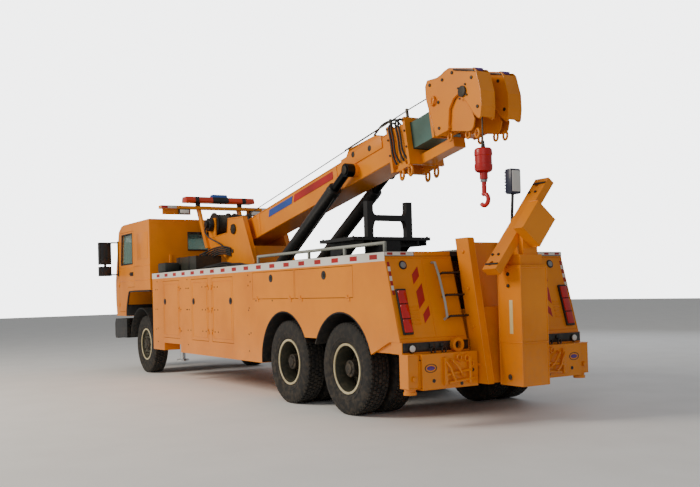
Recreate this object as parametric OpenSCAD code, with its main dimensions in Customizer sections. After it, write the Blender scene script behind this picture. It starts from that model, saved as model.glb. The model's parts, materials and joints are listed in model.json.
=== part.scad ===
// Heavy tow truck, three axles, with a telescopic boom, two winches, a rear underlift and jack legs.
// +X forward, +Y left, +Z up, in millimetres. Lengths along X are measured from the rearmost axle and
// shifted once, so that the origin is under the middle of the overall box, on the ground.

/* [Wheels] */
// Outside diameter of every tyre
tyre_d = 1050; // [950:5:1150]
// Width of every tyre
tyre_w = 279; // [250:1:315]
// Diameter of the rim where the tyre seats
rim_d = 584; // [540:1:620]
// Distance between the two tyres of a twin wheel, centre to centre
twin_spacing = 350; // [330:1:380]
// Distance between the two rear axles
tandem = 1400; // [1300:10:1500]
// Distance from the front axle to the axle behind it
wheelbase = 5825; // [5000:25:6500]
// Distance between the front tyre centres
front_track = 2030; // [1980:5:2060]
// Distance between the twin wheel centres on a rear axle
rear_track = 1830; // [1800:5:1850]
// Steering angle is set by the joint; this is the kingpin distance from the tyre centre
kingpin_offset = 175; // [160:5:200]

/* [Frame] */
// Overall width of the two frame rails
frame_w = 860; // [820:5:900]
// Height of a frame rail
rail_h = 300; // [240:5:320]
// Height of the top of the rails above the ground
rail_top = 1050; // [1000:5:1100]
// Height of the sub-frame on the rails
subframe_h = 150; // [100:5:180]

/* [Body] */
// Overall width of the body
body_w = 2550; // [2450:10:2600]
// Height of the deck above the ground
deck_z = 1811; // [1760:1:1900]
// Thickness of the deck
deck_t = 51; // [30:1:70]
// Height of the bottom of the side lockers
skirt_z = 480; // [420:5:540]
// Depth of a side locker, outside face to inside wall
locker_depth = 620; // [500:10:640]
// Thickness of the body walls
wall_t = 30; // [20:1:40]
// Thickness of a locker door
door_t = 28; // [20:1:32]
// Gap round a door
door_gap = 6; // [5:1:8]
// Radius of a wheel arch
arch_r = 651; // [600:1:680]

/* [Cab] */
// Overall width of the cab
cab_w = 2490; // [2400:10:2500]
// Distance from the front axle back to the cab's rear wall
cab_back = 625; // [560:5:700]
// Distance from the front axle forward to the cab's nose
cab_front = 1475; // [1400:5:1550]
// Height of the cab roof
roof_z = 2800; // [2700:10:3000]
// Thickness of the cab walls and doors
cab_t = 60; // [50:1:70]
// Height of the cab's side sill above the front wheel
sill_z = 1520; // [1480:5:1600]

/* [Boom] */
// Angle of the boom above level as it stands
boom_angle = 10; // [4:1:20]
// Width of the outer boom
boom_w = 400; // [360:5:420]
// Height of the outer boom
boom_h = 380; // [340:5:420]
// Thickness of the boom plates
boom_t = 20; // [12:1:25]
// Distance from the boom pivot to the end of the outer boom
boom_len = 4890; // [4600:10:5200]
// How far the inner boom stands out of the outer boom
boom_out = 410; // [405:5:600]
// Outside diameter of a lift cylinder
lift_d = 190; // [160:5:200]
// Diameter of a lift cylinder's rod
rod_d = 120; // [90:5:130]

/* [Underlift] */
// Width of the underlift arm
arm_w = 360; // [320:5:380]
// Depth of the underlift arm, front to back
arm_d = 340; // [300:5:360]
// Length of the underlift arm, from its pivot to its open end
arm_len = 1160; // [1100:10:1250]
// Lean of the mast from upright
mast_lean = 10; // [6:1:12]
// Overall length of the crossbar
crossbar_len = 1250; // [1100:10:1300]
// Tilt of the stowed crossbar from level
crossbar_tilt = 51; // [45:1:54]

/* [Legs] */
// Clear height of a foot plate above the ground
foot_z = 335; // [300:5:380]

/* [Hidden] */
$fn = 48;

orange = "#F29A1F";
black = "#1C1E20";
steel = "#8A8D8F";
grey_green = "#5E7F78";
cream = "#D8D2B8";

// Clearances
seat_gap = 0.3;   // between pieces that rest on each other on round faces
pin_gap = 0.06;   // radial running clearance on a pin
run_gap = 8;      // between faces that move past each other
eps = 1;          // overlap that joins shapes of one solid

// Overall places
front_x = tandem + wheelbase;            // front axle
cab_rear_x = front_x - cab_back;
nose_x = front_x + cab_front;
bumper_x = nose_x + 100;
arm_x = -1593;                           // underlift arm pivot
arm_z = 469;
arm_rear = 187;                          // from the pivot back to the arm's rear face
hub_d = 180;
hub_rear = 105;                          // how far the crossbar hub stands behind the arm
rear_x = arm_x - arm_rear - hub_rear;    // rearmost point of the truck
shift_x = -(bumper_x + rear_x) / 2;
wheel_z = tyre_d / 2;
side_y = body_w / 2;
rail_z = rail_top - rail_h;
sub_z = rail_top + subframe_h;

// Moves a shape from rear-axle lengths into the truck's own frame
module at_truck() {
    translate([shift_x, 0, 0]) children();
}

// A box from its lowest to its highest corner
module box(low, high) {
    translate(low) cube(high - low);
}

// A copy on the left and one on the right
module both_sides() {
    for (side = [1, -1]) on_side(side) children();
}

module on_side(side) {
    if (side > 0) children();
    else mirror([0, 1, 0]) children();
}

// An outline in X and Z, as thick as from y0 to y1
module side_plate(points, y0, y1) {
    translate([0, y1, 0]) rotate([90, 0, 0]) linear_extrude(y1 - y0) polygon(points);
}

// A round bar along Y
module bar_y(r, y0, y1) {
    translate([0, y0, 0]) rotate([-90, 0, 0]) cylinder(r = r, h = y1 - y0);
}

// A round bar along X
module bar_x(r, x0, x1) {
    translate([x0, 0, 0]) rotate([0, 90, 0]) cylinder(r = r, h = x1 - x0);
}

// A hinge knuckle round the vertical line x = 0, y = 0, its leaf reaching along X by reach
module knuckle_z(reach) {
    translate([0, hinge_out, 0]) cylinder(r = hinge_r, h = hinge_h, $fn = 24);
    box([min(0, reach), -eps, 0], [max(0, reach), hinge_out, hinge_h]);
}

// The same round a line along X, its leaf reaching along Z
module knuckle_x(reach) {
    translate([0, hinge_out, 0]) rotate([0, 90, 0]) cylinder(r = hinge_r, h = hinge_h, $fn = 24);
    box([0, -eps, min(0, reach)], [hinge_h, hinge_out, max(0, reach)]);
}

hinge_out = 6;            // hinge line to the outside face
hinge_r = 5.5;
hinge_h = 40;
hinge_leaf = 36;

// ---------------------------------------------------------------- wheels
rim_r = rim_d / 2;
spindle_r = 60;
stub_r = 45;
drum_r = 190;

// One tyre's outline as [radius, y] points, centred on y = 0
function tyre_outline(inner) = let (r = tyre_d / 2, w = tyre_w / 2) [
    [inner, -w + 32], [inner + 40, -w + 8], [r - 120, -w], [r - 42, -w + 12], [r - 12, -w + 34], [r, -w + 70],
    [r, w - 70], [r - 12, w - 34], [r - 42, w - 12], [r - 120, w], [inner + 40, w - 8], [inner, w - 32]
];

module spin_y(points, fn = 64) {
    rotate([-90, 0, 0]) rotate_extrude($fn = fn) polygon(points);
}

module tyre(inner) {
    spin_y(tyre_outline(inner));
}

front_y = front_track / 2;
hub_face = 135;          // from the tyre's centre out to the front hub's face

module front_tyre(side) {
    color(black) at_truck() on_side(side) translate([front_x, front_y, wheel_z]) tyre(rim_r);
}

module front_rim(side) {
    flange = rim_r - seat_gap;
    barrel_in = flange - 16;
    points = [
        [stub_r + pin_gap, -70], [drum_r, -70], [drum_r, 50], [barrel_in, 50],
        [barrel_in, -118], [flange, -118], [flange, 118], [barrel_in, 118], [barrel_in, 76],
        [drum_r, 92], [130, 92], [115, hub_face], [0, hub_face], [0, 60], [stub_r + pin_gap, 60]
    ];
    color(cream) at_truck() on_side(side) translate([front_x, front_y, wheel_z]) spin_y(points);
}

module twin_wheel(x, side) {
    half = twin_spacing / 2;
    barrel = rim_r;
    barrel_in = barrel - 16;
    hub_out = half + 100;
    points = [
        [spindle_r + pin_gap, -half - 100], [150, -half - 100], [150, -30], [barrel_in, -30],
        [barrel_in, -half - 118], [barrel, -half - 118], [barrel, half + 118], [barrel_in, half + 118],
        [barrel_in, 30], [170, 30], [125, hub_out - 25], [110, hub_out], [0, hub_out], [0, 85],
        [spindle_r + pin_gap, 85]
    ];
    color(black) at_truck() on_side(side) translate([x, rear_track / 2, wheel_z]) {
        spin_y(points);
        for (y = [-half, half]) translate([0, y, 0]) tyre(barrel - eps);
    }
}

// ---------------------------------------------------------------- axles and springs
kingpin_y = front_y - kingpin_offset;
kingpin_r = 25;
boss_h = 120;
front_beam_z = wheel_z - 30;

module front_axle() {
    color(black) at_truck() translate([front_x, 0, 0]) difference() {
        union() {
            box([-45, -kingpin_y, front_beam_z - 50], [45, kingpin_y, front_beam_z + 50]);
            both_sides() translate([0, kingpin_y, front_beam_z - boss_h / 2]) cylinder(r = 52, h = boss_h);
        }
        both_sides() translate([0, kingpin_y, front_beam_z - 100]) cylinder(r = kingpin_r + pin_gap, h = 200);
    }
}

module knuckle(side) {
    ear = 35;
    low = front_beam_z - boss_h / 2 - 2;
    high = front_beam_z + boss_h / 2 + 2;
    color(steel) at_truck() on_side(side) translate([front_x, 0, 0]) {
        translate([0, kingpin_y, low - ear]) cylinder(r = kingpin_r, h = high - low + 2 * ear);
        for (z = [low - ear, high]) translate([0, kingpin_y, z]) {
            cylinder(r = 50, h = ear);
            box([-50, 0, 0], [50, 92, ear]);
        }
        box([-50, kingpin_y + 57, low - ear], [50, kingpin_y + 92, high + ear]);
        translate([0, 0, wheel_z]) bar_y(stub_r, kingpin_y + 90, front_y + 55);
        box([-190, kingpin_y - 20, low - ear], [-45, kingpin_y + 20, low - ear + 30]);
    }
}

axle_tube_r = 75;
spindle_y = rear_track / 2 - twin_spacing / 2 - 105;

module rear_axle(x) {
    translate([x, 0, wheel_z]) {
        bar_y(axle_tube_r, -spindle_y, spindle_y);
        bar_y(spindle_r, -rear_track / 2 - 80, rear_track / 2 + 80);
        sphere(r = 205);
        both_sides() box([-spring_seat, rear_spring_y, 0], [spring_seat, rear_spring_y + spring_w, axle_tube_r - seat_gap]);
    }
}

module rear_axles() {
    color(black) at_truck() for (x = [0, tandem]) rear_axle(x);
}

spring_w = 90;
rear_spring_y = frame_w / 2 + 12;
front_spring_y = frame_w / 2 - 85;
spring_t = 90;
spring_seat = 60;
front_spring_half = 650;
front_spring_end = rail_z - 40;

// A leaf spring: high in the middle if rise is above zero, seated low at both ends
module leaf_pack(half, z_end, z_mid, t) {
    rise = z_mid - z_end;
    side_plate(concat(
        [for (i = [0:8]) let (x = -half + i * half / 4) [x, z_end + rise * (1 - pow(x / half, 2))]],
        [for (i = [8:-1:0]) let (x = -half + i * half / 4)
            [x, z_end + rise * (1 - pow(x / half, 2)) + t * (1 - 0.6 * abs(x) / half)]]
    ), 0, spring_w);
}

module leaf_springs() {
    seat_z = wheel_z + axle_tube_r;
    beam_top = front_beam_z + 50;
    color(black) at_truck() both_sides() {
        // tandem springs sit on the axle tubes and carry the trunnion between them
        translate([tandem / 2, rear_spring_y, 0]) leaf_pack(tandem / 2 + spring_seat, seat_z, rail_z - 60, spring_t);
        // front springs sit on the axle beam, their ends at the hangers
        translate([front_x, front_spring_y, 0])
            leaf_pack(front_spring_half, front_spring_end, beam_top, spring_t);
    }
}

module engine() {
    half = frame_w / 2 - 110;
    color(steel) at_truck() {
        box([cab_rear_x + 120, -half, rail_z + 20], [front_x + 620, half, rail_top + 340]);
        // feet on the lower flanges of the rails
        both_sides() for (x = [cab_rear_x + 240, front_x + 480])
            box([x, half - eps, rail_z + rail_t + seat_gap], [x + 100, frame_w / 2 - 30, rail_z + rail_t + 60]);
    }
}

// ---------------------------------------------------------------- frame
rail_t = 12;
rail_flange = 80;
rear_box_x = -700;                       // front of the rear cabinets
frame_rear = rear_box_x + 2;
frame_front = nose_x - 330;
cross_x = [-600, 350, 1050, 2300, 3300, 5200, 6350];
outrigger_x = [-560, 2180, 3750, 5600];
tail_x = -880;
tail_w = 390;

module rail(side) {
    half = frame_w / 2;
    on_side(side) difference() {
        box([frame_rear, half - rail_flange, rail_z], [frame_front, half, rail_top]);
        box([frame_rear - eps, half - rail_flange - eps, rail_z + rail_t],
            [frame_front + eps, half - rail_t, rail_top - rail_t]);
    }
}

module chassis_frame() {
    half = frame_w / 2;
    inner_wall = side_y - locker_depth;
    color(black) at_truck() {
        for (side = [1, -1]) rail(side);
        for (x = cross_x)
            box([x - 60, -half + rail_t - eps, rail_z + 40], [x + 60, half - rail_t + eps, rail_top - 40]);
        both_sides() {
            // sub-frame on the rail
            box([frame_rear, half - rail_flange, rail_top - eps], [front_x - 900, half, sub_z]);
            // trunnion that carries the tandem spring
            box([tandem / 2 - 110, half - eps, rail_z - 60 + spring_t], [tandem / 2 + 110, rear_spring_y + spring_w, rail_top - 60]);
            // front spring hangers
            for (x = [front_x - front_spring_half + 40, front_x + front_spring_half - 40])
                box([x - 40, front_spring_y, front_spring_end + 0.4 * spring_t + seat_gap], [x + 40, half, rail_z + eps]);
            // arms that carry the side bodies and the deck
            for (x = outrigger_x) box([x - 50, half - rail_flange, sub_z - eps], [x + 50, inner_wall, sub_z + 80]);
        }
        // tail frame that carries the mast
        box([tail_x, -tail_w, rail_z - 60], [frame_rear + eps, tail_w, sub_z]);
        // cross head that carries the cab pivots and the bumper
        box([frame_front - eps, -half, rail_z], [frame_front + 120, half, rail_top - 60]);
    }
}

// ---------------------------------------------------------------- bumper
cab_low = 1040;                           // underside of the cab in front of the wheels
cab_pivot = [nose_x - 100, cab_low - 25];
cab_pivot_r = 20;
cab_pivot_y = [200, 260, 320];            // cab's barrel, then the frame's barrel
bumper_low = 600;
bumper_top = 985;
bumper_back = front_x + 800;
bumper_t = 60;

module bumper() {
    half = cab_w / 2;
    front = nose_x + 100;
    color(black) at_truck() {
        side_plate([[front - 160, bumper_low], [front - 30, bumper_low], [front, bumper_low + 60],
                    [front, bumper_top - 90], [front - 60, bumper_top], [front - 160, bumper_top]], -half, half);
        both_sides() {
            box([bumper_back, half - bumper_t, bumper_low + 20], [front - 160 + eps, half, bumper_top]);
            // two steps in each corner
            for (z = [bumper_low + 20, bumper_low + 220])
                box([bumper_back + 20, half - 260, z], [front - 160 + eps, half - bumper_t + eps, z + 30]);
        }
        both_sides() {
            // stays to the cross head of the frame
            box([frame_front + 120, 250, rail_z + 20], [front - 160 + eps, 350, rail_top - 120]);
            // barrels that carry the tilting cab
            translate([cab_pivot[0], 0, cab_pivot[1]]) bar_y(cab_pivot_r, cab_pivot_y[1] + seat_gap, cab_pivot_y[2]);
            box([cab_pivot[0] - cab_pivot_r, cab_pivot_y[1] + seat_gap, rail_top - 120 - eps],
                [cab_pivot[0] + cab_pivot_r, cab_pivot_y[2], cab_pivot[1]]);
        }
    }
}

// ---------------------------------------------------------------- cab
screen_low = [nose_x - 10, 1750];
screen_high = [nose_x - 265, roof_z - 120];
door_front = nose_x - 250;
door_rear = nose_x - 1200;
arch_front = front_x + 791;
arch_top_x = front_x + 595;
roof_front = nose_x - 450;

tunnel_half = frame_w / 2 + 30;
tunnel_top = sill_z - 60;
tunnel_front = frame_front + 160;

// Outline of the cab seen from the side, drawn in by t
function cab_outline(t) = [
    [cab_rear_x + t, sill_z + t], [arch_top_x + t, sill_z + t],
    [arch_front + t, cab_low + 150 + t], [arch_front + t, cab_low + t],
    [nose_x - 50 - t, cab_low + t], [nose_x - t, cab_low + 300], [nose_x - t, 1650],
    [screen_low[0] - t, screen_low[1]], [screen_high[0] - t, screen_high[1]],
    [roof_front - t / 2, roof_z - 20 - t], [roof_front - 160, roof_z - t], [cab_rear_x + t, roof_z - t]
];

// Outline of a door, g inside its opening
function door_outline(g) = [
    [door_front - g, cab_low + 80 + g], [door_front - g, 1720], [nose_x - 372 - g, roof_z - 150 - g],
    [door_rear + g, roof_z - 150 - g], [door_rear + g, sill_z + 70 + g],
    [arch_top_x + 60 + g, sill_z + 70 + g], [arch_front + 80 + g, cab_low + 80 + g]
];

// Outline of a side window in the door
window = [[nose_x - 400, 2030], [nose_x - 470, 2605], [nose_x - 1110, 2605], [nose_x - 1110, 2030]];
rear_window = [520, 2240, 2560];   // half width, low edge, high edge
screen_half = 1130;
cab_hinge_z = [1260, 1640];

module screen_cut(t0, t1, inset) {
    low = screen_low;
    high = screen_high;
    f = (high[1] - low[1]);
    // the opening follows the slope of the screen
    slope = (high[0] - low[0]) / f;
    z0 = low[1] + 40 + inset;
    z1 = high[1] - 40 - inset;
    side_plate([[low[0] + slope * (z0 - low[1]) - t0, z0], [low[0] + slope * (z1 - low[1]) - t0, z1],
                [low[0] + slope * (z1 - low[1]) - t1, z1], [low[0] + slope * (z0 - low[1]) - t1, z0]],
               -screen_half + inset, screen_half - inset);
}

module cab_shell() {
    half = cab_w / 2;
    color(orange) at_truck() difference() {
        union() {
            difference() {
                side_plate(cab_outline(0), -half, half);
                side_plate(cab_outline(cab_t), -half + cab_t, half - cab_t);
            }
            // walls of the engine tunnel
            box([arch_top_x + 80, -tunnel_half - cab_t, cab_low + 5], [tunnel_front + cab_t, tunnel_half + cab_t, tunnel_top + cab_t]);
        }
        box([cab_rear_x - eps, -tunnel_half, cab_low - eps], [tunnel_front, tunnel_half, tunnel_top]);
        both_sides() side_plate(door_outline(0), half - cab_t - eps, half + eps);
        screen_cut(-eps, cab_t + 30, 0);
        box([cab_rear_x - eps, -rear_window[0], rear_window[1]], [cab_rear_x + cab_t + eps, rear_window[0], rear_window[2]]);
    }
    color(orange) at_truck() both_sides() {
        for (z = cab_hinge_z) translate([door_front, half, z - hinge_h]) knuckle_z(hinge_leaf);
        translate([cab_pivot[0], 0, cab_pivot[1]]) bar_y(cab_pivot_r, cab_pivot_y[0], cab_pivot_y[1]);
        box([cab_pivot[0] - cab_pivot_r, cab_pivot_y[0], cab_pivot[1]], [cab_pivot[0] + cab_pivot_r, cab_pivot_y[1], cab_low + eps]);
    }
}

module cab_door(side) {
    half = cab_w / 2;
    color(orange) at_truck() on_side(side) {
        difference() {
            side_plate(door_outline(door_gap), half - cab_t, half);
            side_plate(window, half - cab_t - eps, half + eps);
        }
        for (z = cab_hinge_z) translate([door_front, half, z + seat_gap]) knuckle_z(-hinge_leaf);
    }
}

module cab_glass() {
    color("#7FB7A8") at_truck() {
        screen_cut(24, 32, seat_gap);
        box([cab_rear_x + 26, -rear_window[0] + seat_gap, rear_window[1] + seat_gap],
            [cab_rear_x + 34, rear_window[0] - seat_gap, rear_window[2] - seat_gap]);
    }
}

mirror_x = nose_x - 240;

module wing_mirror(side) {
    half = cab_w / 2;
    x0 = nose_x - 80;
    on_side(side) {
        box([x0, half + 100, 2060], [x0 + 130, half + 330, 2500]);
        box([x0, half + 100, 1830], [x0 + 130, half + 330, 2020]);
        for (z = [1840, 2470]) {
            box([mirror_x, half, z], [mirror_x + 25, half + 140, z + 25]);
            box([mirror_x, half + 115, z], [x0 + eps, half + 140, z + 25]);
        }
        box([mirror_x - 2, half, 1820], [mirror_x + 25, half + 20, 2510]);
        box([x0 + 40, half + 190, 2019], [x0 + 80, half + 230, 2061]);
    }
}

module mirrors() {
    color(black) at_truck() for (side = [1, -1]) wing_mirror(side);
}

module cab_interior() {
    floor_z = sill_z + cab_t;
    color(black) at_truck() {
        both_sides() {
            box([front_x + 40, 330, floor_z], [front_x + 540, 850, floor_z + 160]);
            side_plate([[front_x + 40, floor_z + 160], [front_x + 200, floor_z + 160], [front_x + 80, floor_z + 900],
                        [front_x - 40, floor_z + 900]], 330, 850);
        }
        side_plate([[nose_x - cab_t - seat_gap, 1540], [nose_x - cab_t - seat_gap, 1640], [nose_x - 150, 1760], [nose_x - 420, 1700],
                    [nose_x - 420, 1560], [nose_x - 400, 1540]], -cab_w / 2 + cab_t + 10, cab_w / 2 - cab_t - 10);
    }
}

// ---------------------------------------------------------------- side bodies
locker_in_y = side_y - locker_depth;
body_top = deck_z - deck_t;
body_front = 6400;
body_rear_top = -920;
body_rear_low = -1165;
rear_skirt_z = 865;
mid_skirt_z = 857;
arch_box_x = tandem + arch_r + 10;        // rear end of the tall lockers
drop_low = 1330;
drop_high = 1690;
tall_hinge_z = [850, 1180, 1520];
tall_low = 700;
tall_high = 1660;
cabinet_in_y = 400;
// Tall doors: [rear edge, front edge, side the hinge is on (1 front, -1 rear)]
tall_doors = [[5090, 5860, -1], [3870, 4560, -1], [2950, 3730, 1]];
// Drop doors: [rear edge, front edge]
drop_doors = [[-290, 1070], [1090, 2290]];
jack_x = 5300;
jack_y = side_y - 120;
jack_r = 45;
notch = [5060, 5840, 640];                // cut-out for the front jack: rear, front, top

function arch(cx, from, to, n = 12) =
    [for (i = [0:n]) let (a = from + (to - from) * i / n) [cx + arch_r * cos(a), wheel_z + arch_r * sin(a)]];

// Angle at which an arch meets a height
function arch_angle(z) = asin((z - wheel_z) / arch_r);

// Outside skin seen from the side
function skin_outline() = let (am = arch_angle(mid_skirt_z)) concat(
    [[body_front, skirt_z], [body_front, body_top], [body_rear_top, body_top], [body_rear_low, rear_skirt_z],
     [-arch_r * cos(arch_angle(720)) - 350, rear_skirt_z], [-arch_r * cos(arch_angle(720)), 720]],
    arch(0, 180 - arch_angle(720), am),
    arch(tandem, 180 - am, 0),
    [[tandem + arch_r, skirt_z]]
);

module side_body(side) {
    color(orange) at_truck() on_side(side) {
        difference() {
            union() {
                body_shell();
                // sleeve of the front jack
                box([jack_x - 90, jack_y - 90, notch[2] - 30], [jack_x + 90, jack_y + 90, notch[2] + 280]);
            }
            translate([jack_x, jack_y, skirt_z]) cylinder(r = jack_r + pin_gap, h = 600);
        }
        for (d = tall_doors, z = tall_hinge_z)
            translate([d[2] > 0 ? d[1] : d[0], side_y, z - hinge_h]) knuckle_z(d[2] * hinge_leaf);
        for (d = drop_doors, x = [d[0] + 110, d[1] - 150])
            translate([x - hinge_h, side_y, drop_low]) knuckle_x(-hinge_leaf);
    }
}

module body_shell() {
    in_y = locker_in_y;
    difference() {
        union() {
            side_plate(skin_outline(), side_y - wall_t, side_y);
            // tall locker box
            box([arch_box_x, in_y, skirt_z], [body_front, side_y - eps, body_top]);
            // boxes over the wheels
            box([rear_box_x, in_y, sub_z], [arch_box_x + eps, side_y - eps, body_top]);
            // rear cabinet with its sloping back
            side_plate([[rear_box_x + eps, rear_skirt_z], [rear_box_x + eps, body_top], [body_rear_top, body_top],
                        [body_rear_low, rear_skirt_z]], cabinet_in_y, side_y);
        }
        // rooms behind the tall doors
        for (d = tall_doors)
            box([d[0] + 20, in_y + wall_t, tall_low - 20], [d[1] - 20, side_y - wall_t, body_top - wall_t]);
        // room behind the drop doors
        box([rear_box_x + wall_t, in_y + wall_t, sub_z + wall_t], [arch_box_x - wall_t, side_y - wall_t, body_top - wall_t]);
        // door openings
        for (d = tall_doors)
            box([d[0], side_y - wall_t - eps, tall_low], [d[1], side_y + eps, tall_high]);
        for (d = drop_doors)
            box([d[0], side_y - wall_t - eps, drop_low], [d[1], side_y + eps, drop_high]);
        // cut-out for the front jack
        box([notch[0], in_y - eps, skirt_z - eps], [notch[1], side_y + eps, notch[2] - 30]);
    }
}

module deck() {
    half = 450;
    color(black) at_truck() difference() {
        box([body_rear_top, -side_y, body_top], [body_front, side_y, deck_z]);
        box([2600, -half, body_top - eps], [5200, half, deck_z + eps]);
    }
}

module tall_door(side, i) {
    d = tall_doors[i];
    color(orange) at_truck() on_side(side) {
        box([d[0] + door_gap, side_y - door_t, tall_low + door_gap], [d[1] - door_gap, side_y, tall_high - door_gap]);
        for (z = tall_hinge_z)
            translate([d[2] > 0 ? d[1] : d[0], side_y, z + seat_gap]) knuckle_z(-d[2] * hinge_leaf);
    }
}

module drop_door_pair(side) {
    color(orange) at_truck() on_side(side) for (d = drop_doors) {
        box([d[0] + door_gap, side_y - door_t, drop_low + door_gap], [d[1] - door_gap, side_y, drop_high - door_gap]);
        for (x = [d[0] + 110, d[1] - 150]) translate([x + seat_gap, side_y, drop_low]) knuckle_x(hinge_leaf);
    }
}

module handrails() {
    r = 20;
    y = 1100;
    z = deck_z + 105;
    x0 = -680;
    x1 = 2450;
    color(cream) at_truck() both_sides() {
        translate([0, y, z]) bar_x(r, x0, x1);
        for (x = [x0, 150, 1000, x1]) translate([x, y, deck_z]) cylinder(r = r, h = z - deck_z);
        for (x = [x0, x1]) translate([x, y, z]) sphere(r = r);
    }
}

module oil_tank() {
    color(black) at_truck() box([5260, 440, deck_z], [6180, 900, deck_z + 260]);
}

// ---------------------------------------------------------------- rear crossmember and legs
beam_y0 = 400;
housing = [-1330, -1110, 380, 745];       // x0, x1, z0, z1
housing_out = 1125;
housing_t = 18;
band_rear = -1190;
ring_y = 585;
ring_z = 835;
ring_r = 75;
ring_bore = 42;
leg_x = (housing[0] + housing[1]) / 2;
leg_y = side_y - 70;
leg_half = 45;

module rear_crossmember() {
    color(orange) at_truck() both_sides() difference() {
        union() {
            box([housing[0], beam_y0, housing[2]], [housing[1], housing_out, housing[3]]);
        }
        box([housing[0] + housing_t, beam_y0 + housing_t, housing[2] + housing_t],
            [housing[1] - housing_t, housing_out + eps, housing[3] - housing_t - 40]);
    }
}

// Beam between the housings and the cabinets, with the tow rings
module underrun_beam() {
    color(orange) at_truck() both_sides() difference() {
        union() {
            box([band_rear, beam_y0, housing[3]], [rear_box_x, side_y - wall_t - seat_gap, rear_skirt_z]);
            box([band_rear, beam_y0, housing[3]], [body_rear_low + 160, side_y - 5, rear_skirt_z]);
            translate([0, ring_y, ring_z - 20]) bar_x(ring_r, band_rear - 60, band_rear + eps);
        }
        translate([0, ring_y, ring_z - 20]) bar_x(ring_bore, band_rear - 60 - eps, band_rear);
        box([band_rear - 60 - eps, beam_y0 - eps, housing[3] - ring_r], [rear_box_x, side_y, housing[3]]);
    }
}

module outrigger_beam(side) {
    g = housing_t + run_gap;
    low = housing[2] + g;
    high = housing[3] - g - 40;
    color(orange) at_truck() on_side(side) difference() {
        union() {
            box([housing[0] + g, beam_y0 + g + 12, low], [housing[1] - g, leg_y - 60, high]);
            // wear pads that carry the beam in its housing
            box([housing[0] + g, beam_y0 + 60, housing[2] + housing_t + seat_gap], [housing[1] - g, beam_y0 + 140, low + eps]);
            // sleeve of the leg
            box([leg_x - 75, leg_y - 70, 400], [leg_x + 75, leg_y + 70, 740]);
        }
        translate([leg_x, leg_y, 400]) cylinder(r = leg_half + pin_gap, h = 360);
    }
}

module outrigger_leg(side) {
    color(steel) at_truck() on_side(side) translate([leg_x, leg_y, foot_z]) {
        cylinder(r = leg_half, h = 400);
        cylinder(r = 68, h = 30);
        translate([0, 0, 30 - eps]) cylinder(r = 60, h = 30);
    }
}

module front_jacks() {
    color(steel) at_truck() both_sides() translate([jack_x, jack_y, foot_z - 10]) {
        cylinder(r = jack_r, h = 560);
        cylinder(r = 100, h = 25);
    }
}

// ---------------------------------------------------------------- tower, winches, gantry
pivot_x = 4865;
pivot_z = 2496;
pivot_r = 50;
tower_out = 370;
tower_t = 80;
tower_in = tower_out - tower_t;
lift_base = [4000, 1400];
lift_y = 330;
lift_pin_r = 40;
lug_r = 95;
winch_x = 5800;
winch_z = 2640;
winch_r = 215;
drum_core_r = 120;
axle_r = 40;
winch_t = 22;
tower_outline = [
    [4090, sub_z], [4090, 1860], [4520, 2680], [5110, 2700], [5150, 2440], [6010, 2420], [6010, 2175],
    [5560, 2150], [5330, 2085], [5180, 1990], [5120, 1880], [5120, sub_z]
];

module tower() {
    color(orange) at_truck() difference() {
        union() {
            both_sides() {
                side_plate(tower_outline, tower_in, tower_out);
                // lugs for the lift cylinders
                for (y = [[lift_y - 110, lift_y - 60], [lift_y + 60, lift_y + 110]])
                    side_plate([[lift_base[0] - 85, sub_z], [4100, sub_z], [4100, lift_base[1] + 120],
                                [lift_base[0] - 50, lift_base[1] + 75], [lift_base[0] - 85, lift_base[1]]], y[0], y[1]);
                translate([lift_base[0], 0, lift_base[1]]) bar_y(lift_pin_r, lift_y - 110, lift_y + 110);
                // winch end plates
                for (y = [20, tower_out - winch_t])
                    box([winch_x - 150, y, 2420 - eps], [winch_x + 150, y + winch_t, winch_z + 110]);
            }
            // cross plates
            side_plate([[4100, sub_z], [4160, sub_z], [4310, 2180], [4240, 2180]], -tower_in - eps, tower_in + eps);
            box([5040, -tower_in - eps, sub_z], [5110, tower_in + eps, 2050]);
            box([5560, -tower_out, 2380], [6010, tower_out, 2421]);
            box([4100, -tower_out - 75, sub_z], [5110, tower_out + 75, sub_z + 40]);
        }
        translate([pivot_x, 0, pivot_z]) bar_y(pivot_r + pin_gap, -tower_out - eps, tower_out + eps);
        translate([winch_x, 0, winch_z]) bar_y(axle_r + pin_gap, -tower_out - eps, tower_out + eps);
    }
}

module winch_drums() {
    color(black) at_truck() both_sides() translate([winch_x, 0, winch_z]) {
        bar_y(axle_r, 22, tower_out - 2);
        bar_y(drum_core_r, 50, tower_out - winch_t - 8);
        for (y = [50, tower_out - winch_t - 28]) translate([0, y, 0]) bar_y(winch_r, 0, 20);
    }
}

gantry_x = 6340;
gantry_half = 1126;
gantry_z = 2960;
post_y = tower_out;
post_t = 50;

module gantry() {
    color(orange) at_truck() {
        box([gantry_x - 75, -gantry_half, gantry_z], [gantry_x + 75, gantry_half, gantry_z + 55]);
        both_sides() {
            side_plate([[5900, 2240], [6010, 2240], [gantry_x + 60, gantry_z + eps], [gantry_x - 50, gantry_z + eps]],
                       post_y, post_y + post_t);
            box([gantry_x - 20, 560, gantry_z - 100], [gantry_x + 20, 1080, gantry_z + eps]);
        }
    }
}

bar_half = 672;
bar_z = gantry_z + 120;

module light_bar() {
    color("red") at_truck() translate([gantry_x, 0, 0]) {
        side_plate([[-120, bar_z], [120, bar_z], [130, bar_z + 30], [95, bar_z + 105], [-95, bar_z + 105], [-130, bar_z + 30]],
                   -bar_half, bar_half);
        side_plate([[-90, bar_z + 100], [90, bar_z + 100], [60, bar_z + 160], [-60, bar_z + 160]], -150, 150);
        both_sides() box([-60, 380, gantry_z + 55], [60, 440, bar_z + eps]);
    }
}

// ---------------------------------------------------------------- boom rest
rest_x = 800;
rest_t = 90;
rest_half = 350;
upright_w = 90;
table_z = 2090;
rest_notch_z = 2372;

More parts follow.
